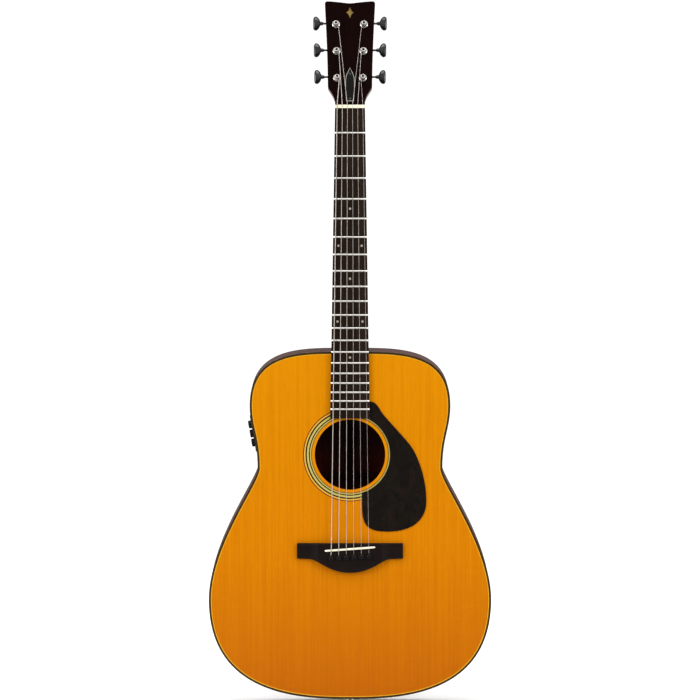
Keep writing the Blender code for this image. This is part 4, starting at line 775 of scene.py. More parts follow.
def make_bridge():
    top, wing, half, reach, low_edge = bridge_edges()

    def lower(x):
        x = abs(x)
        for a, b in zip(low_edge, low_edge[1:]):
            if a[0] <= x <= b[0] and b[0] > a[0]:
                return a[1] + (b[1] - a[1]) * (x - a[0]) / (b[0] - a[0])
        return wing

    def height(x):
        share = min(1.0, max(0.0, (abs(x) - 46.5 * MM) / (15.5 * MM)))
        eased = math.sin(share * math.pi / 2)
        return BRIDGE_FRONT - (BRIDGE_FRONT - 5.1 * MM) * eased

    def fall(distance):
        radius = 1.3 * MM
        if distance >= radius:
            return 0.0
        return radius - math.sqrt(max(0.0, radius**2 - (radius - distance) ** 2))

    edge_steps = [0.0, 0.06 * MM, 0.25 * MM, 0.6 * MM, 1.3 * MM]
    xs = [-half + s for s in edge_steps] + [-half + 1.3 * MM + (2 * half - 2.6 * MM) * k / 150
                                            for k in range(1, 150)]
    xs += [half - s for s in reversed(edge_steps)]
    rings = []
    for x in xs:
        ends = half - abs(x)
        corner = 1.5 * MM - math.sqrt(max(0.0, (1.5 * MM) ** 2 - max(0.0, 1.5 * MM - ends) ** 2))
        low, high = lower(x) + corner, top - corner
        inner = 10
        ups = [low + s for s in edge_steps] + [low + 1.3 * MM + (high - low - 2.6 * MM) * k / inner
                                               for k in range(1, inner)]
        ups += [high - s for s in reversed(edge_steps)]
        crest = [(x, up, height(x) - max(fall(min(up - low, high - up)), fall(ends))) for up in ups]
        rings.append([(x, low, 0.05 * MM)] + crest + [(x, high, 0.05 * MM)])
    finish_mesh("bridge_body", skin(rings), BRIDGE_WOOD, place=FACE, replaces=("bridge",), slot="board_wood",
                angle=50)


make_bridge()


def saddle_frame():
    slant = (math.cos(SADDLE_SLANT), 0, math.sin(SADDLE_SLANT))
    tailward = (math.sin(SADDLE_SLANT), 0, -math.cos(SADDLE_SLANT))
    return frame_matrix((0, FRONT, SADDLE), slant, (0, -1, 0), tailward)


def make_saddle():
    """A bone saddle with a rounded crest and rounded ends."""
    half = 75.8 * MM / 2
    rings = []
    count = 70
    for k in range(count + 1):
        x = half * (2 * k / count - 1)
        end = max(0.0, 1.0 - (half - abs(x)) / (1.6 * MM))
        thick = 1.5 * MM * math.sqrt(max(0.05, 1 - end**2))
        crest = 10.6 * MM - crown(x) - 1.2 * MM * end**2
        ring = [(x, 3.8 * MM, thick), (x, crest - 1.2 * MM, thick)]
        ring += [(x, crest - 1.2 * MM + 1.2 * MM * math.sin(a), thick * math.cos(a))
                 for a in [math.pi * s / 8 for s in range(1, 8)]]
        ring += [(x, crest - 1.2 * MM, -thick), (x, 3.8 * MM, -thick)]
        rings.append(ring)
    finish_mesh("saddle_bone", skin(rings), IVORY, place=saddle_frame(), replaces=("saddle",), slot="ivory",
                angle=40)


make_saddle()
PIN_PLACES = [((i - 2.5) * 11.2 * MM, PINS + (i - 2.5) * 11.2 * MM * math.tan(PIN_SLANT)) for i in range(6)]
PIN_PROFILE = rounded([(0.0001 * MM, 4.2 * MM), (1.9 * MM, 4.1 * MM), (3.2 * MM, 3.3 * MM),
                       (3.7 * MM, 2.3 * MM),
                       (3.3 * MM, 1.5 * MM), (2.7 * MM, 1.2 * MM), (2.6 * MM, 0.0), (2.6 * MM, -2.0 * MM),
                       (1.95 * MM, -17.0 * MM), (0.0001 * MM, -17.8 * MM)], 0.5 * MM)
for i, (x, up) in enumerate(PIN_PLACES):
    place = FACE @ Matrix.Translation((x, up, BRIDGE_FRONT))
    finish_mesh(f"pin_{i + 1}", turned_shape(PIN_PROFILE, 32), BLACK_PLASTIC_AND_HOLE_SHADE, place=place,
                replaces=(f"bridge_pin_{i + 1}",),
                slot="black_gloss")
    hole = turned_shape([(3.35 * MM, 0.02 * MM), (3.35 * MM, 0.16 * MM), (3.05 * MM, 0.2 * MM),
                         (2.62 * MM, 0.2 * MM),
                         (2.62 * MM, 0.02 * MM)], 32, caps=False)
    finish_mesh(f"pin_collar_{i + 1}", hole, PALE_LINE, place=place, slot="ivory")


# Fingerboard, frets, nut and strings


def fret_at(number):
    return NUT - SCALE * (1 - 2 ** (-number / 12))


def make_board():
    ends = [NUT - 0.3 * MM, NUT - 0.35 * MM] + [BOARD_END + 0.4 * MM, BOARD_END]
    rings = []
    for k, up in enumerate(ends):
        half = half_board(up)
        drop = 0.35 * MM if k == 3 else 0.0
        steps = 28
        xs = [half - 0.45 * MM - (2 * half - 0.9 * MM) * s / steps for s in range(steps + 1)]
        crest = [(x, up, BOARD_FRONT - crown(x) - drop) for x in xs]
        edge = BOARD_FRONT - crown(half) - 0.5 * MM - drop
        ring = [(half, up, 0.25 * MM), (half, up, edge), (half - 0.12 * MM, up, edge + 0.33 * MM)] + crest
        ring += [(-half + 0.12 * MM, up, edge + 0.33 * MM), (-half, up, edge), (-half, up, 0.25 * MM)]
        rings.append(ring)
    finish_mesh("fingerboard_blank", skin(rings), EBONY, place=FACE, replaces=("fingerboard",),
                slot="board_wood",
                angle=25)
    for number in range(1, 21):
        middle = fret_at(number)
        half = half_board(middle) - 0.25 * MM
        rings = []
        columns = 26
        for k in range(columns + 1):
            x = half * (2 * k / columns - 1)
            tuck = max(0.0, 1 - (half - abs(x)) / (1.1 * MM))
            top = 1.08 * MM * math.sqrt(max(0.0, 1 - tuck**2)) + 0.02 * MM
            base = BOARD_FRONT - crown(x)
            arc = [(x, middle + 1.2 * MM * math.cos(a), base + top * math.sin(a)) for a in
                   [math.pi * s / 10 for s in range(11)]]
            rings.append([(x, middle + 1.2 * MM, base - 0.3 * MM)] + arc + [(x, middle - 1.2 * MM,
                base - 0.3 * MM)])
        finish_mesh(f"fret_{number:02d}", skin(rings), FRET, place=FACE, slot="nickel", angle=50)


make_board()


def dot(name, x, up, radius):
    slope = math.atan(x / BOARD_RADIUS)
    seat = FACE @ Matrix.Translation((x, up, BOARD_FRONT - crown(x))) @ Matrix.Rotation(slope, 4, "Y")
    profile = [(0.0001 * MM, 0.05 * MM), (radius - 0.15 * MM, 0.05 * MM), (radius, 0.0), (radius, -0.6 * MM),
               (0.0001 * MM, -0.6 * MM)]
    finish_mesh(name, turned_shape(profile, 36), PEARL, place=seat, slot="ivory")


for number, offsets in ((5, (0,)), (7, (-17.0, 17.0)), (9, (0,)), (12, (-18.3, 18.3)), (15, (0,))):
    for k, offset in enumerate(offsets):
        dot(f"face_dot_{number}_{k + 1}", offset * MM, (fret_at(number) + fret_at(number - 1)) / 2, 1.7 * MM)
for number in (3, 5, 7, 9, 12, 15):
    up = (fret_at(number) + fret_at(number - 1)) / 2
    seat = frame_matrix((-half_board(up), FRONT - 3.2 * MM, up), (0, 1, 0), (0, 0, 1), (-1, 0, 0))
    profile = [(0.0001 * MM, 0.04 * MM), (0.95 * MM, 0.04 * MM), (1.0 * MM, 0.0), (1.0 * MM, -0.5 * MM),
               (0.0001 * MM, -0.5 * MM)]
    finish_mesh(f"side_dot_{number}", turned_shape(profile, 24), PEARL, place=seat, slot="ivory")


def string_ends(index):
    """Heights and places of a string at the saddle and at the nut."""
    radius = STRING_RADII[index]
    low = (index - 2.5) * 11.0 * MM
    high = (index - 2.5) * 7.5 * MM
    saddle = SADDLE + low * math.tan(SADDLE_SLANT)
    return low, high, saddle, 10.9 * MM - crown(low) + radius, 7.7 * MM - crown(high) + radius


def make_nut():
    half = NUT_WIDTH / 2
    loop = [(half, 0.35 * MM), (half, 8.2 * MM - crown(half) - 0.5 * MM),
            (half - 0.5 * MM, 8.2 * MM - crown(half))]
    for index in reversed(range(6)):
        radius = STRING_RADII[index] + 0.03 * MM
        x = (index - 2.5) * 7.5 * MM
        middle = 7.7 * MM - crown(x) + STRING_RADII[index]
        top = 8.2 * MM - crown(x)
        loop += [(x + radius + 0.45 * MM, top), (x + radius + 0.06 * MM, top - 0.12 * MM)]
        loop += [(x + radius * math.cos(a), min(top - 0.12 * MM, middle - radius * math.sin(a))) for a in
                 [math.pi * s / 10 for s in range(11)]]
        loop += [(x - radius - 0.06 * MM, top - 0.12 * MM), (x - radius - 0.45 * MM, top)]
        if index:
            between = x - 3.75 * MM
            loop.append((between, 8.2 * MM - crown(between)))
    loop += [(-half + 0.5 * MM, 8.2 * MM - crown(half)), (-half, 8.2 * MM - crown(half) - 0.5 * MM),
             (-half, 0.35 * MM)]
    slab("nut_bone", [loop], -HEAD_START, -NUT, IVORY, place=ALONG, replaces=("nut",), slot="ivory",
         rounding=0.12 * MM)


make_nut()


def post_turn(index):
    """The ring radius, height and first angle of a string on its post."""
    low, high, saddle, low_height, high_height = string_ends(index)
    x, up = POSTS[index].x, POSTS[index].y
    inner = 1 if index < 3 else -1
    leave = TO_HEAD @ FACE @ Vector((high, HEAD_START + 0.3 * MM, high_height))
    ring = POST_WAIST + 0.1 * MM + STRING_RADII[index]
    toward = Vector((leave.x - x, leave.y - up))
    angle = math.atan2(toward.y, toward.x) + inner * math.acos(ring / toward.length)
    return ring, angle, inner


def make_strings():
    for index in range(6):
        radius = STRING_RADII[index]
        low, high, saddle, low_height, high_height = string_ends(index)
        pin_x, pin_up = PIN_PLACES[index]
        beside = pin_up + 2.9 * MM + radius
        bend = 1.5 * MM
        ring, angle, inner = post_turn(index)
        x, up = POSTS[index].x, POSTS[index].y
        arrive = FACE.inverted() @ HEAD @ Vector((x + ring * math.cos(angle), up + ring * math.sin(angle),
                                                  WRAP_HEIGHT))
        corners = [(pin_x, beside, BRIDGE_FRONT - 3.0 * MM),
                   (pin_x, beside, BRIDGE_FRONT + 0.35 * MM + radius),
                   (low, saddle - 0.6 * MM, low_height - 0.15 * MM), (low, saddle + 0.6 * MM, low_height),
                   (high, NUT - 0.2 * MM, high_height),
                   (high, HEAD_START - 0.5 * MM, high_height - 0.02 * MM),
                   tuple(arrive)]
        path = [Vector(corners[0])]
        for before, corner, after in zip(corners, corners[1:], corners[2:]):
            before, corner, after = Vector(before), Vector(corner), Vector(after)
            cut = min(bend, (before - corner).length * 0.4, (after - corner).length * 0.4)
            start = corner + (before - corner).normalized() * cut
            end = corner + (after - corner).normalized() * cut
            path += [start * (1 - t) ** 2 + corner * 2 * t * (1 - t) + end * t * t for t in (0, 0.25, 0.5,
                0.75, 1)]
        path.append(Vector(corners[-1]))
        paint = WOUND_METAL if index < WOUND else PLAIN
        wire(f"string_wire_{index + 1}", path, radius, paint, 14, place=FACE,
             replaces=(f"string_{index + 1}",),
             slot="string_metal")
        turns = 2.6 if index < 3 else 3.4
        count = int(turns * 22)
        fall = max(2.15 * radius, 0.5 * MM)
        coil = []
        for k in range(count + 1):
            share = k / 22
            turn = angle + inner * 2 * math.pi * share
            height = max(WRAP_HEIGHT - share * fall, 2.45 * MM + radius)
            reach = ring + (0.35 * MM if height <= 2.45 * MM + radius + 1e-9 else 0.0)
            coil.append((x + reach * math.cos(turn), up + reach * math.sin(turn), height))
        wire(f"string_coil_{index + 1}", coil, radius * 0.98, paint, 12, body=f"post_{index + 1}", place=HEAD,
             slot="string_metal")


make_strings()


# Neck and headstock


def head_side():
    nut = NUT_WIDTH / 2
    shoulder, wide, corner, length = 31.9 * MM, 36.9 * MM, 3.7 * MM, HEAD_LENGTH
    bend = (shoulder, 25.5 * MM)
    after = (shoulder + 0.6 * MM, 30 * MM)
    points = bezier((nut, 2 * MM), (nut, 12 * MM), (nut + 5 * MM, 17 * MM), bend, 16)
    points += bezier(bend, (shoulder + 0.4 * MM, 27 * MM), (shoulder + 0.6 * MM, 27.5 * MM), after, 5)
    points += bezier(after, (shoulder + 0.9 * MM, 70 * MM), (wide - 2 * MM, length - 40 * MM),
                     (wide, length - corner), 14)
    for i in range(9):
        turn = math.pi / 2 * i / 8
        points.append((wide - corner * (1 - math.cos(turn)), length - corner * (1 - math.sin(turn))))
    dip = length - 3.1 * MM
    return points + bezier(points[-1], (wide * 0.5, length - 0.5 * MM), (wide * 0.16, dip + 0.2 * MM),
                           (0, dip), 10)[1:] + [(0, dip)]


HEAD_SIDE = head_side()


def head_half(up):
    for low, high in zip(HEAD_SIDE, HEAD_SIDE[1:]):
        if low[1] <= up <= high[1]:
            return low[0] + (high[0] - low[0]) * (up - low[1]) / (high[1] - low[1])
    return NUT_WIDTH / 2


def head_loop(start):
    return mirrored([(head_half(start),
                      start)] + [p for p in HEAD_SIDE if p[1] > start or p[0] < 36.9 * MM and p[1] > 0.1])


def neck_ring(front, width, depth, heel, cap, square):
    """One neck section: half an ellipse, turned towards the heel's wedge or the head's rectangle."""
    steps = 24
    half = width / 2
    points = []
    for i in range(steps + 1):
        s = i / steps
        sunk = min(1.0, s * 1.5)
        wedge_x = cap + (half - cap) * (1 - sunk) ** 1.7
        if s > 2 / 3:
            wedge_x = cap * (1 - s) * 3
        parts = ((1 - heel - square, half * math.cos(s * math.pi / 2), depth * math.sin(s * math.pi / 2)),
                 (heel, wedge_x, depth * sunk), (square, half * min(1.0, 2 - 2 * s), depth * min(1.0, 2 * s)))
        x = sum(share * a for share, a, b in parts)
        y = sum(share * b for share, a, b in parts)
        points.append((x, front - y))
    return points + [(-x, y) for x, y in reversed(points[:-1])]


def make_neck():
    rings = []
    to_face = FACE.inverted() @ HEAD
    front, back = 1.9 * MM, HEAD_THICKNESS - 0.15 * MM
    for up, square in ((13 * MM, 1.0), (9 * MM, 0.8), (4 * MM, 0.4)):
        ring = neck_ring(-front, 2 * head_half(up) - 0.3 * MM, back - front, 0, 0, square)
        rings.append([tuple(to_face @ Vector((x, up, h))) for x, h in ring])
    rings.append([(x, HEAD_START, h) for x, h in neck_ring(-0.4 * MM, NUT_WIDTH, 14.2 * MM, 0, 0, 0.1)])
    heel_start = TOP + 62.0 * MM
    for share in (0, 0.3, 0.65, 1.0):
        up = NUT + (heel_start - NUT) * share
        rings.append([(x, up, h) for x, h in neck_ring(0, 2 * half_board(up), (14.8 + 2.2 * share) * MM, 0,
                                                       0, 0)])
    for i in range(1, 8):
        turn = math.pi / 2 * i / 7
        up = heel_start - 45.0 * MM * math.sin(turn)
        rise = 1 - math.cos(turn)
        depth = 17.0 * MM + (HEEL_DEPTH - 17.0 * MM) * rise
        rings.append([(x, up, h) for x, h in neck_ring(0, 2 * half_board(up), depth, rise**0.5, 3 * MM, 0)])
    for share in (0.5, 1.0):
        up = TOP + 17.0 * MM * (1 - share) + 0.3 * MM * share
        cap = 3 * MM + 8.0 * MM * share**0.6
        rings.append([(x, up, h) for x, h in neck_ring(0, 2 * half_board(up), HEEL_DEPTH, 1, cap, 0)])
    tracks = [smoothed([ring[i] for ring in rings], 5) for i in range(len(rings[0]))]
    finer = [[track[j] for track in tracks] for j in range(len(tracks[0]))]
    finish_mesh("neck_shaft", skin(finer), NECK_WOOD, place=FACE, replaces=("neck",), slot="neck_wood",
                angle=50)
    cap_loop = mirrored([(11.0 * MM, TOP + 0.35 * MM), (9.6 * MM, TOP + 4.0 * MM), (8.2 * MM, TOP + 8.3 * MM),
                         (6.0 * MM, TOP + 13.0 * MM), (3.4 * MM, TOP + 16.4 * MM),
                         (1.6 * MM, TOP + 17.4 * MM),
                         (0, TOP + 17.6 * MM)])
    slab("heel_cap", [cap_loop], -HEEL_DEPTH - 1.4 * MM, -HEEL_DEPTH + 0.1 * MM, BINDING, rounding=0.4 * MM,
         slot="binding")
    slab("headstock_blank", [head_loop(9 * MM)], -HEAD_THICKNESS, -1.55 * MM, NECK_WOOD, place=HEAD,
         rounding=1.1 * MM,
         segments=4, slot="neck_wood")
    slab("headstock_veneer", [head_loop(0.9 * MM)], -1.5 * MM, 0, HEAD_GLOSS, place=HEAD, rounding=0.5 * MM,
         segments=3,
         replaces=("headstock_overlay",), slot="head_gloss")


make_neck()


def cover_loop(inset):
    half, start, top = 7.7 * MM - inset, 4.0 * MM + inset, 57.0 * MM - inset * 1.4
    side = [(half * 0.8, start), (half, start + 19 * MM)]
    side += bezier((half, top - 22 * MM), (half, top - 10 * MM), (2 * MM, top - 6 * MM), (0, top), 24)
    return mirrored(side + [(0, top)])


def screw_shape(place, radius=1.7 * MM, height=0.8 * MM, shape=None):
    """A small domed screw head with a cross recess."""
    shape = shape or bmesh.new()
    rows = []
    for share, lift in ((1.0, 0.0), (0.96, 0.35), (0.8, 0.7), (0.55, 0.92), (0.3, 1.0), (0.12, 1.0)):
        row = []
        for k in range(32):
            turn = 2 * math.pi * k / 32
            cross = k % 8 in (0, 1, 7) and share < 0.7
            down = 0.45 if cross else 0.0
            row.append(shape.verts.new(place @ Vector((radius * share * math.cos(turn),
                                                       radius * share * math.sin(turn),
                                                       height * (lift - down)))))
        rows.append(row)
    for row, following in zip(rows, rows[1:]):
        for i in range(32):
            j = (i + 1) % 32
            shape.faces.new((row[i], row[j], following[j], following[i]))
    shape.faces.new(rows[-1])
    shape.faces.new(list(reversed(rows[0])))
    return shape


slab("truss_cover", [cover_loop(0)], 0.05 * MM, 1.75 * MM, BLACK_PLASTIC_AND_HOLE_SHADE, place=HEAD, rounding=0.45 * MM, segments=3,
     replaces=("truss_rod_cover",), slot="black_gloss")
slab("truss_cover_line", [cover_loop(0.9 * MM), cover_loop(1.6 * MM)], 1.5 * MM, 1.79 * MM, PALE_LINE,
     place=HEAD,
     slot="ivory")
for k, up in enumerate((8.6 * MM, 46.0 * MM)):
    finish_mesh(f"cover_screw_{k + 1}", screw_shape(HEAD @ Matrix.Translation((0, up, 1.72 * MM))),
                BLACKENED, slot="black_gloss",
                angle=25)


def lozenge(scale):
    """A four-pointed lozenge with hollow sides, as a plain ornament."""
    tall, wide = 8.6 * MM * scale, 5.4 * MM * scale
    quarter = bezier((wide, 0), (wide * 0.52, tall * 0.16), (wide * 0.2, tall * 0.5), (0, tall), 12)
    up = HEAD_LENGTH - 17.0 * MM
    right = quarter + [(0, tall)] + [(-x, y) for x, y in reversed(quarter)]
    return [(x, up + y) for x, y in right + [(-x, -y) for x, y in right[1:-1]]]


slab("head_ornament", [lozenge(1.0)], -0.4 * MM, 0.12 * MM, GOLD, place=HEAD, slot="nickel",
     rounding=0.05 * MM)


# Tuning machines

TEETH, MODULE, PITCH = 15, 0.55 * MM, math.pi * 0.55 * MM
WORM_RADIUS = 1.875 * MM
REACH, ROOT = 0.5 * MM, 0.725 * MM
WORM_HEIGHT = KEYS[0].z
LEAD = math.atan(PITCH / (2 * math.pi * WORM_RADIUS))
POST_PROFILE = rounded([(0.0001 * MM, 10.3 * MM), (1.5 * MM, 10.5 * MM), (1.9 * MM, 12.0 * MM),
                        (2.8 * MM, 12.0 * MM),
                        (3.0 * MM, 11.6 * MM), (3.0 * MM, 8.6 * MM), (2.62 * MM, 7.2 * MM),
                        (2.6 * MM, 3.4 * MM),
                        (3.0 * MM, 2.4 * MM), (3.0 * MM, WORM_HEIGHT - 2.1 * MM),
                        (2.6 * MM, WORM_HEIGHT - 2.5 * MM),
                        (0.0001 * MM, WORM_HEIGHT - 2.5 * MM)], 0.5 * MM)


def gear_shape(place, shape):
    """Fifteen teeth, twisted to the worm's lead, added to a shape."""
    rings = []
    twist = math.tan(LEAD) / (TEETH * MODULE / 2)
    for share in (-1.0, -0.86, 0.86, 1.0):
        offset = 1.5 * MM * share
        ease = 0.18 * MM if abs(share) == 1.0 else 0.0
        ring = []
        for tooth in range(TEETH):
            middle = math.pi / 2 + 2 * math.pi / TEETH * (tooth + 0.5)
            tip, root = TEETH * MODULE / 2 + REACH - ease, TEETH * MODULE / 2 - ROOT
            for radius, half, side in ((root, 0.57, -1), (tip, 0.13, -1), (tip, 0.13, 1), (root, 0.57, 1)):
                turn = middle + side * half * MM / radius + offset * twist
                ring.append(shape.verts.new(place @ Vector((radius * math.cos(turn), radius * math.sin(turn),
                                                            WORM_HEIGHT + offset))))
        rings.append(ring)
    for row, following in zip(rings, rings[1:]):
        for i in range(len(row)):
            j = (i + 1) % len(row)
            shape.faces.new((row[i], row[j], following[j], following[i]))
    shape.faces.new(list(reversed(rings[0])))
    shape.faces.new(rings[-1])
    return shape


def make_post(index):
    place = HEAD @ Matrix.Translation((POSTS[index].x, POSTS[index].y, 0))
    shape = turned_shape(POST_PROFILE, 40, place)
    finish_mesh(f"post_{index + 1}_shaft", gear_shape(place, shape), NICKEL, body=f"post_{index + 1}",
                slot="nickel",
                replaces=(f"string_post_{index + 1}",), angle=40)
    ring, angle, inner = post_turn(index)
    # The black ring round the string hole is painted shade, standing for the dark inside of the hole.
    eye = place @ Matrix.Translation((0, 0, WRAP_HEIGHT + 1.4 * MM)) @ Matrix.Rotation(angle + math.pi / 2,
        4, "Z")
    hole = eye @ Matrix.Rotation(math.pi / 2, 4, "X")
    profile = [(0.62 * MM, 2.66 * MM), (0.95 * MM, 2.72 * MM), (0.95 * MM, 2.4 * MM), (0.62 * MM, 2.4 * MM)]
    shape = bmesh.new()
    for turn in (0, math.pi):
        turned_shape(profile + profile[:1], 20, hole @ Matrix.Rotation(turn, 4, "X"), shape, caps=False)
    finish_mesh(f"post_{index + 1}_eye", shape, BLACK_PLASTIC_AND_HOLE_SHADE, body=f"post_{index + 1}", slot="black_gloss")
    # The black disc in the hollow top of the post is painted shade.
    hollow_shade = [(0.0001 * MM, 10.8 * MM), (1.5 * MM, 10.8 * MM), (1.5 * MM, 10.6 * MM),
              (0.0001 * MM, 10.6 * MM)]
    finish_mesh(f"post_{index + 1}_dimple", turned_shape(hollow_shade, 24, place), BLACK_PLASTIC_AND_HOLE_SHADE, body=f"post_{index + 1}",
                slot="black_gloss")
    bushing = rounded([(3.28 * MM, 0.02 * MM), (3.28 * MM, 0.7 * MM), (4.1 * MM, 1.75 * MM),
                       (4.6 * MM, 1.75 * MM), (4.7 * MM, 1.1 * MM),
                       (5.6 * MM, 0.7 * MM), (5.7 * MM, 0.02 * MM)], 0.3 * MM)
    finish_mesh(f"bushing_{index + 1}", turned_shape(bushing + bushing[:1], 48, place, caps=False), NICKEL,
                slot="nickel")


def button_rings():
    wide, thick, length = 10.7 * MM, 3.6 * MM, 13.5 * MM
    start = 33.8 * MM - length
    shares = ((0.00, 3.0 * MM, 3.0 * MM), (0.10, 2.9 * MM, 2.9 * MM), (0.20, 0.30 * wide, 0.82 * thick),
              (0.38, 0.74 * wide, 0.92 * thick), (0.65, wide * 0.995, thick),
              (0.88, 0.93 * wide, 0.88 * thick),
              (0.97, 0.76 * wide, 0.62 * thick), (1.00, 0.50 * wide, 0.30 * thick))
    return smoothed([(start + share * length, a, b) for share, a, b in shares], 5)


def make_key(index):
    side = -1 if index < 3 else 1
    steps = 36
    place = HEAD @ Matrix.Translation(KEYS[index])
    shape = bmesh.new()
    half = 4.3 * MM
    rows = []

    def add_ring(distance, tall, thick, power=1.0):
        ring = []
        for k in range(steps):
            c, s = math.cos(2 * math.pi * k / steps), math.sin(2 * math.pi * k / steps)
            at = Vector((distance, tall * math.copysign(abs(c) ** power, c),
                         thick * math.copysign(abs(s) ** power, s)))
            ring.append(shape.verts.new(place @ at))
        rows.append(ring)

    reach = 9.0 * MM
    add_ring(-side * reach, 1.2 * MM, 1.2 * MM)
    add_ring(-side * (reach - 0.3 * MM), 1.5 * MM, 1.5 * MM)
    add_ring(-side * (half + 0.2 * MM), 1.5 * MM, 1.5 * MM)
    count = 58
    for j in range(count + 1):
        x = -side * half + side * 2 * half * j / count
        ring = []
        for k in range(steps):
            turn = 2 * math.pi * k / steps
            phase = (x - PITCH * (k / steps - 0.5)) / PITCH
            away = abs(phase - round(phase)) * PITCH
            tooth = min(1.0, max(0.0, (0.57 * MM - away) / (0.44 * MM)))
            if j in (0, count):
                tooth = 0.0
            radius = WORM_RADIUS - ROOT + (REACH + ROOT) * tooth
            ring.append(shape.verts.new(place @ Vector((x, radius * math.cos(turn),
                                                        radius * math.sin(turn)))))
        rows.append(ring)
    add_ring(side * (half + 0.2 * MM), 1.5 * MM, 1.5 * MM)
    add_ring(side * 18.6 * MM, 1.5 * MM, 1.5 * MM)
    add_ring(side * 18.7 * MM, 2.3 * MM, 2.3 * MM)
    add_ring(side * 19.7 * MM, 2.3 * MM, 2.3 * MM)
    add_ring(side * 19.8 * MM, 1.9 * MM, 1.9 * MM)
    for distance, tall, thick in button_rings():
        flat = min(1.0, max(0.0, (distance - 22.0 * MM) / (4 * MM)))
        add_ring(side * distance, tall, thick, 1.0 - 0.22 * flat)
    for row, following in zip(rows, rows[1:]):
        for i in range(steps):
            j = (i + 1) % steps
            shape.faces.new((row[i], row[j], following[j], following[i]))
    shape.faces.new(list(reversed(rows[0])))
    shape.faces.new(rows[-1])
    finish_mesh(f"key_{index + 1}_button", shape, SMOKED, body=f"key_{index + 1}", slot="nickel",
                replaces=(f"tuner_key_{index + 1}",), angle=48)


def make_base(index):
    x, up = POSTS[index].x, POSTS[index].y
    middle = KEYS[index].y
    half, low, high, corner = 8.0 * MM, up - 9 * MM, middle + 9 * MM, 2.6 * MM
    loop = []
    for cx, cy, start in ((x + half - corner, low + corner, -0.5), (x + half - corner, high - corner, 0.0),
                          (x - half + corner, high - corner, 0.5), (x - half + corner, low + corner, 1.0)):
        for k in range(9):
            turn = math.pi * (start + k / 16)
            loop.append((cx + corner * math.cos(turn), cy + corner * math.sin(turn)))
    front = -HEAD_THICKNESS - 0.05 * MM
    back = front - 1.4 * MM
    slab(f"tuner_plate_{index + 1}", [loop, circle(3.3 * MM, (x, up), 40)], back, front, NICKEL, place=HEAD,
         rounding=0.3 * MM, segments=3, replaces=(f"tuner_base_{index + 1}",), slot="nickel")
    for side, word in ((-1, "left"), (1, "right")):
        across = HEAD @ frame_matrix((x + side * 5.0 * MM, middle, WORM_HEIGHT), (0, 1, 0), (0, 0, 1),
                                     (side, 0, 0))
        tall = back - WORM_HEIGHT + 0.6 * MM
        loop = [(3.4 * MM, tall), (3.4 * MM, 0)] + [(3.4 * MM * math.cos(a), -3.4 * MM * math.sin(a)) for a in
                                                    [math.pi * s / 20 for s in range(1, 20)]]
        loop += [(-3.4 * MM, 0), (-3.4 * MM, tall)]
        slab(f"tuner_ear_{word}_{index + 1}", [loop, circle(1.72 * MM, (0, 0), 32)], 0, 2.0 * MM, NICKEL,
             place=across,
             rounding=0.25 * MM, segments=3, slot="nickel")
    shape = bmesh.new()
    for dx, dy in ((-5.6 * MM, low + 2.6 * MM), (5.6 * MM, low + 2.6 * MM), (-5.6 * MM, high - 2.4 * MM),
                   (5.6 * MM, high - 2.4 * MM)):
        seat = HEAD @ Matrix.Translation((x + dx, dy, back + 0.05 * MM)) @ Matrix.Rotation(math.pi, 4, "X")
        screw_shape(seat, 1.5 * MM, 0.75 * MM, shape)
    finish_mesh(f"tuner_screws_{index + 1}", shape, NICKEL, slot="nickel", angle=25)


for index in range(6):
    make_post(index)
    make_key(index)
    make_base(index)


# Preamp in the bass side, and the strap button


def side_frame():
    """The preamp panel's frame, from its knobs' axes and places."""
    first, last = (Vector(JOINTS[f"knob_{k}_turn"]["pos_m"]) for k in (1, 3))
    out = Vector(JOINTS["knob_1_turn"]["axis"]).normalized()
    along = (last - first).normalized()
    return frame_matrix((first + last) / 2, along.cross(out), along, out)


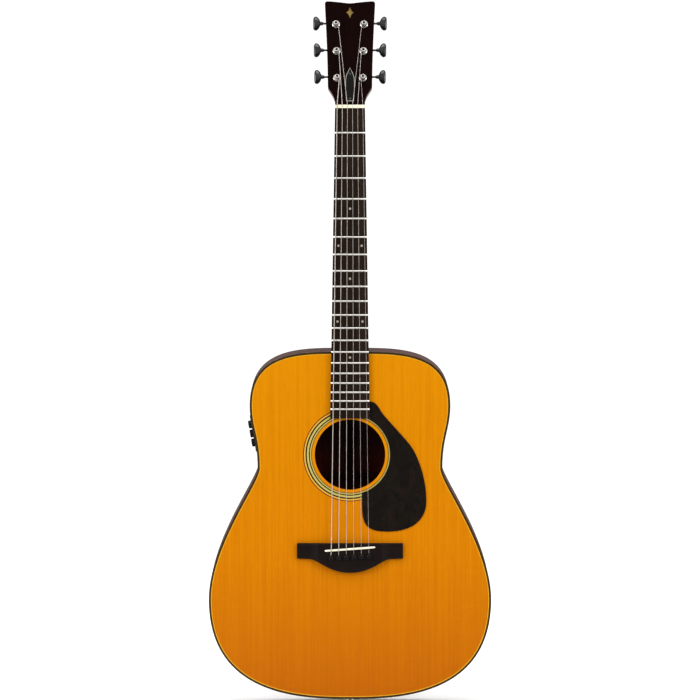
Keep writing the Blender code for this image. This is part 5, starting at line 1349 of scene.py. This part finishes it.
def make_preamp():
    panel = side_frame()
    half_x, half_y, corner = 13.0 * MM, 27.0 * MM, 3.0 * MM
    loop = []
    for cx, cy, start in ((half_x - corner, -half_y + corner, -0.5), (half_x - corner, half_y - corner, 0.0),
                          (-half_x + corner, half_y - corner, 0.5),
                          (-half_x + corner, -half_y + corner, 1.0)):
        for k in range(9):
            turn = math.pi * (start + k / 16)
            loop.append((cx + corner * math.cos(turn), cy + corner * math.sin(turn)))
    bores = [circle(1.8 * MM, (0, (k - 1) * 13.6 * MM), 28) for k in range(3)]
    slab("preamp_panel", [loop] + bores, -1.5 * MM, -0.3 * MM, MATTE, place=panel, rounding=0.4 * MM,
         segments=3,
         replaces=("preamp",), slot="black_matte")
    shape = bmesh.new()
    bmesh.ops.create_cube(shape, size=1.0, matrix=Matrix.Translation((0, 0,
                                                                      -15.6 * MM)) @ Matrix.Diagonal((20
                                                                          * MM, 46 * MM, 27 * MM, 1)))
    bmesh.ops.bevel(shape, geom=list(shape.edges), offset=1.2 * MM, segments=3, affect="EDGES", profile=0.5)
    finish_mesh("preamp_case", shape, MATTE, place=panel, slot="black_matte")
    shape = bmesh.new()
    for dx, dy in ((-10.4, -24.2), (10.4, -24.2), (-10.4, 24.2), (10.4, 24.2)):
        screw_shape(panel @ Matrix.Translation((dx * MM, dy * MM, -0.35 * MM)), 1.4 * MM, 0.6 * MM, shape)
    finish_mesh("preamp_screws", shape, NICKEL, slot="nickel", angle=25)
    for k in range(3):
        seat = panel @ Matrix.Translation((0, (k - 1) * 13.6 * MM, 0))
        shape = bmesh.new()
        rows = []
        steps = 144
        for radius, height, depth in ((5.95, 0.05, 0.0), (6.0, 0.4, 0.0), (5.98, 0.9, 0.22),
                                      (5.85, 3.3, 0.22),
                                      (5.7, 3.8, 0.06), (5.2, 4.15, 0.0), (4.7, 4.2, 0.0), (4.3, 4.0, 0.0),
                                      (0.001, 3.85, 0.0)):
            row = []
            for j in range(steps):
                turn = 2 * math.pi * j / steps
                reach = (radius - depth * (0.5 + 0.5 * math.cos(36 * turn))) * MM
                row.append(shape.verts.new(seat @ Vector((reach * math.cos(turn), reach * math.sin(turn),
                                                          height * MM))))
            rows.append(row)
        for row, following in zip(rows, rows[1:]):
            for j in range(steps):
                i = (j + 1) % steps
                shape.faces.new((row[j], row[i], following[i], following[j]))
        shape.faces.new(list(reversed(rows[0])))
        shape.faces.new(rows[-1])
        turned_shape([(1.5 * MM, 0.06 * MM), (1.5 * MM, -4.9 * MM)], 20, seat, shape)
        knob = f"preamp_knob_{k + 1}"
        finish_mesh(f"knob_{k + 1}_cap", shape, BLACK_PLASTIC_AND_HOLE_SHADE, body=f"knob_{k + 1}", slot="black_gloss",
                    replaces=(knob,), angle=40)
        mark = [(-0.28 * MM, 2.2 * MM), (0.28 * MM, 2.2 * MM), (0.28 * MM, 4.9 * MM), (-0.28 * MM, 4.9 * MM)]
        slab(f"knob_{k + 1}_mark", [mark], 3.7 * MM, 4.2 * MM, PALE_LINE, place=seat, body=f"knob_{k + 1}",
             slot="ivory",
             rounding=0.05 * MM)


make_preamp()


def make_endpin():
    low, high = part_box("endpin_jack")
    middle = ((low[0] + high[0]) / 2, (low[1] + high[1]) / 2, 0)
    seat = TAIL - 0.02 * MM
    profile = rounded([(3.3 * MM, 0.5 * MM), (3.6 * MM, 0.02 * MM), (6.4 * MM, 0.02 * MM),
                       (7.0 * MM, 0.6 * MM),
                       (7.0 * MM, 3.0 * MM), (5.2 * MM, 4.6 * MM), (5.0 * MM, seat - 2.6 * MM),
                       (7.4 * MM, seat - 1.7 * MM),
                       (8.0 * MM, seat - 1.2 * MM), (8.0 * MM, seat), (5.2 * MM, seat), (5.2 * MM, high[2]),
                       (3.3 * MM, high[2])], 0.35 * MM)
    shape = turned_shape(profile + [(3.3 * MM, 0.5 * MM)], 56, Matrix.Translation(middle), caps=False)
    finish_mesh("strap_button", shape, NICKEL, replaces=("endpin_jack",), slot="nickel", angle=40)
    shape = turned_shape([(3.28 * MM, 12 * MM), (0.001 * MM, 12.2 * MM), (0.001 * MM, 13 * MM),
                          (3.28 * MM, 13 * MM)], 32,
                         Matrix.Translation(middle))
    finish_mesh("socket_floor", shape, BLACK_PLASTIC_AND_HOLE_SHADE, slot="black_gloss")


make_endpin()


# Floor, lights and camera


def make_floor():
    """A flat pale floor, mostly behind the guitar."""
    shape = bmesh.new()
    grid = [[shape.verts.new((x, y, -0.5 * MM)) for x in (-5.0, -1.6, 1.6, 5.0)] for y in (-0.55, 0.6, 2.4,
        5.0)]
    for row, following in zip(grid, grid[1:]):
        for k in range(len(row) - 1):
            shape.faces.new((row[k], row[k + 1], following[k + 1], following[k]))
    mesh = bpy.data.meshes.new("studio_floor")
    bmesh.ops.recalc_face_normals(shape, faces=shape.faces)
    shape.to_mesh(mesh)
    shape.free()
    floor = bpy.data.objects.new("studio_floor", mesh)
    bpy.context.scene.collection.objects.link(floor)
    paint = Paint("pale_floor", roughness=0.9, specular=0.1)
    paint.colour(paint.ramp(paint.noise((3.0, 3.0, 3.0)),
                            [(0.3, (0.96, 0.96, 0.96, 1)), (0.7, (0.98, 0.98, 0.98, 1))]))
    mesh.materials.append(paint.material)


def area(name, place, target, width, height, power, colour=(1, 1, 1)):
    data = bpy.data.lights.new(name, "AREA")
    data.shape = "RECTANGLE"
    data.size, data.size_y = width, height
    data.energy = power
    data.color = colour
    lamp = bpy.data.objects.new(name, data)
    bpy.context.scene.collection.objects.link(lamp)
    lamp.location = place
    lamp.rotation_euler = (Vector(target) - Vector(place)).to_track_quat("-Z", "Y").to_euler()


def make_world():
    """Soft light from above and behind, a dim room in front, and a white backdrop for the eye."""
    world = bpy.data.worlds.new("studio")
    bpy.context.scene.world = world
    world.use_nodes = True
    tree = world.node_tree
    background = tree.nodes["Background"]
    place = tree.nodes.new("ShaderNodeTexCoord")
    split = tree.nodes.new("ShaderNodeSeparateXYZ")
    tree.links.new(place.outputs["Generated"], split.inputs[0])
    strengths = []
    for axis, dark, bright, low, high in ((1, -0.85, -0.3, 0.10, 1.12), (2, 0.02, 0.5, 0.10, 0.88)):
        item = tree.nodes.new("ShaderNodeMapRange")
        for name, number in zip(("From Min", "From Max", "To Min", "To Max"), (dark, bright, low, high)):
            item.inputs[name].default_value = number
        tree.links.new(split.outputs[axis], item.inputs["Value"])
        strengths.append(item.outputs["Result"])
    strengths.append(tree.nodes.new("ShaderNodeLightPath").outputs["Is Camera Ray"])
    brightest = strengths[0]
    for strength in strengths[1:]:
        brighter = tree.nodes.new("ShaderNodeMath")
        brighter.operation = "MAXIMUM"
        tree.links.new(brightest, brighter.inputs[0])
        tree.links.new(strength, brighter.inputs[1])
        brightest = brighter.outputs[0]
    background.inputs["Color"].default_value = (1, 1, 1, 1)
    tree.links.new(brightest, background.inputs["Strength"])


make_floor()
make_world()
area("left_softbox", (-2.6, -2.6, 1.6), (0, 0, 0.5), 1.6, 2.2, 58)
area("right_softbox", (2.6, -2.6, 1.6), (0, 0, 0.5), 1.6, 2.2, 50)
area("top_softbox", (0.0, -1.6, 3.4), (0, 0, 0.4), 2.2, 1.6, 34)
area("rear_softbox", (-1.8, 2.8, 2.4), (0, 0, 0.5), 2.0, 2.0, 40)


def make_camera():
    """Straight in front, slightly above, at the photograph's angle."""
    data = bpy.data.cameras.new("camera")
    camera = bpy.data.objects.new("camera", data)
    bpy.context.scene.collection.objects.link(camera)
    bpy.context.scene.camera = camera
    rise = math.radians(3.44)
    distance = 9.0
    target = Vector((0, FRONT, TAIL + 515.0 * MM))
    away = Vector((0, -math.cos(rise), math.sin(rise)))
    camera.location = target + away * distance
    camera.rotation_euler = (-away).to_track_quat("-Z", "Y").to_euler()
    data.sensor_width = 36.0
    data.lens = 36.0 * distance / 1.0273
    data.clip_end = 100.0


make_camera()
bpy.context.scene.view_settings.view_transform = "Standard"

bpy.context.view_layer.update()
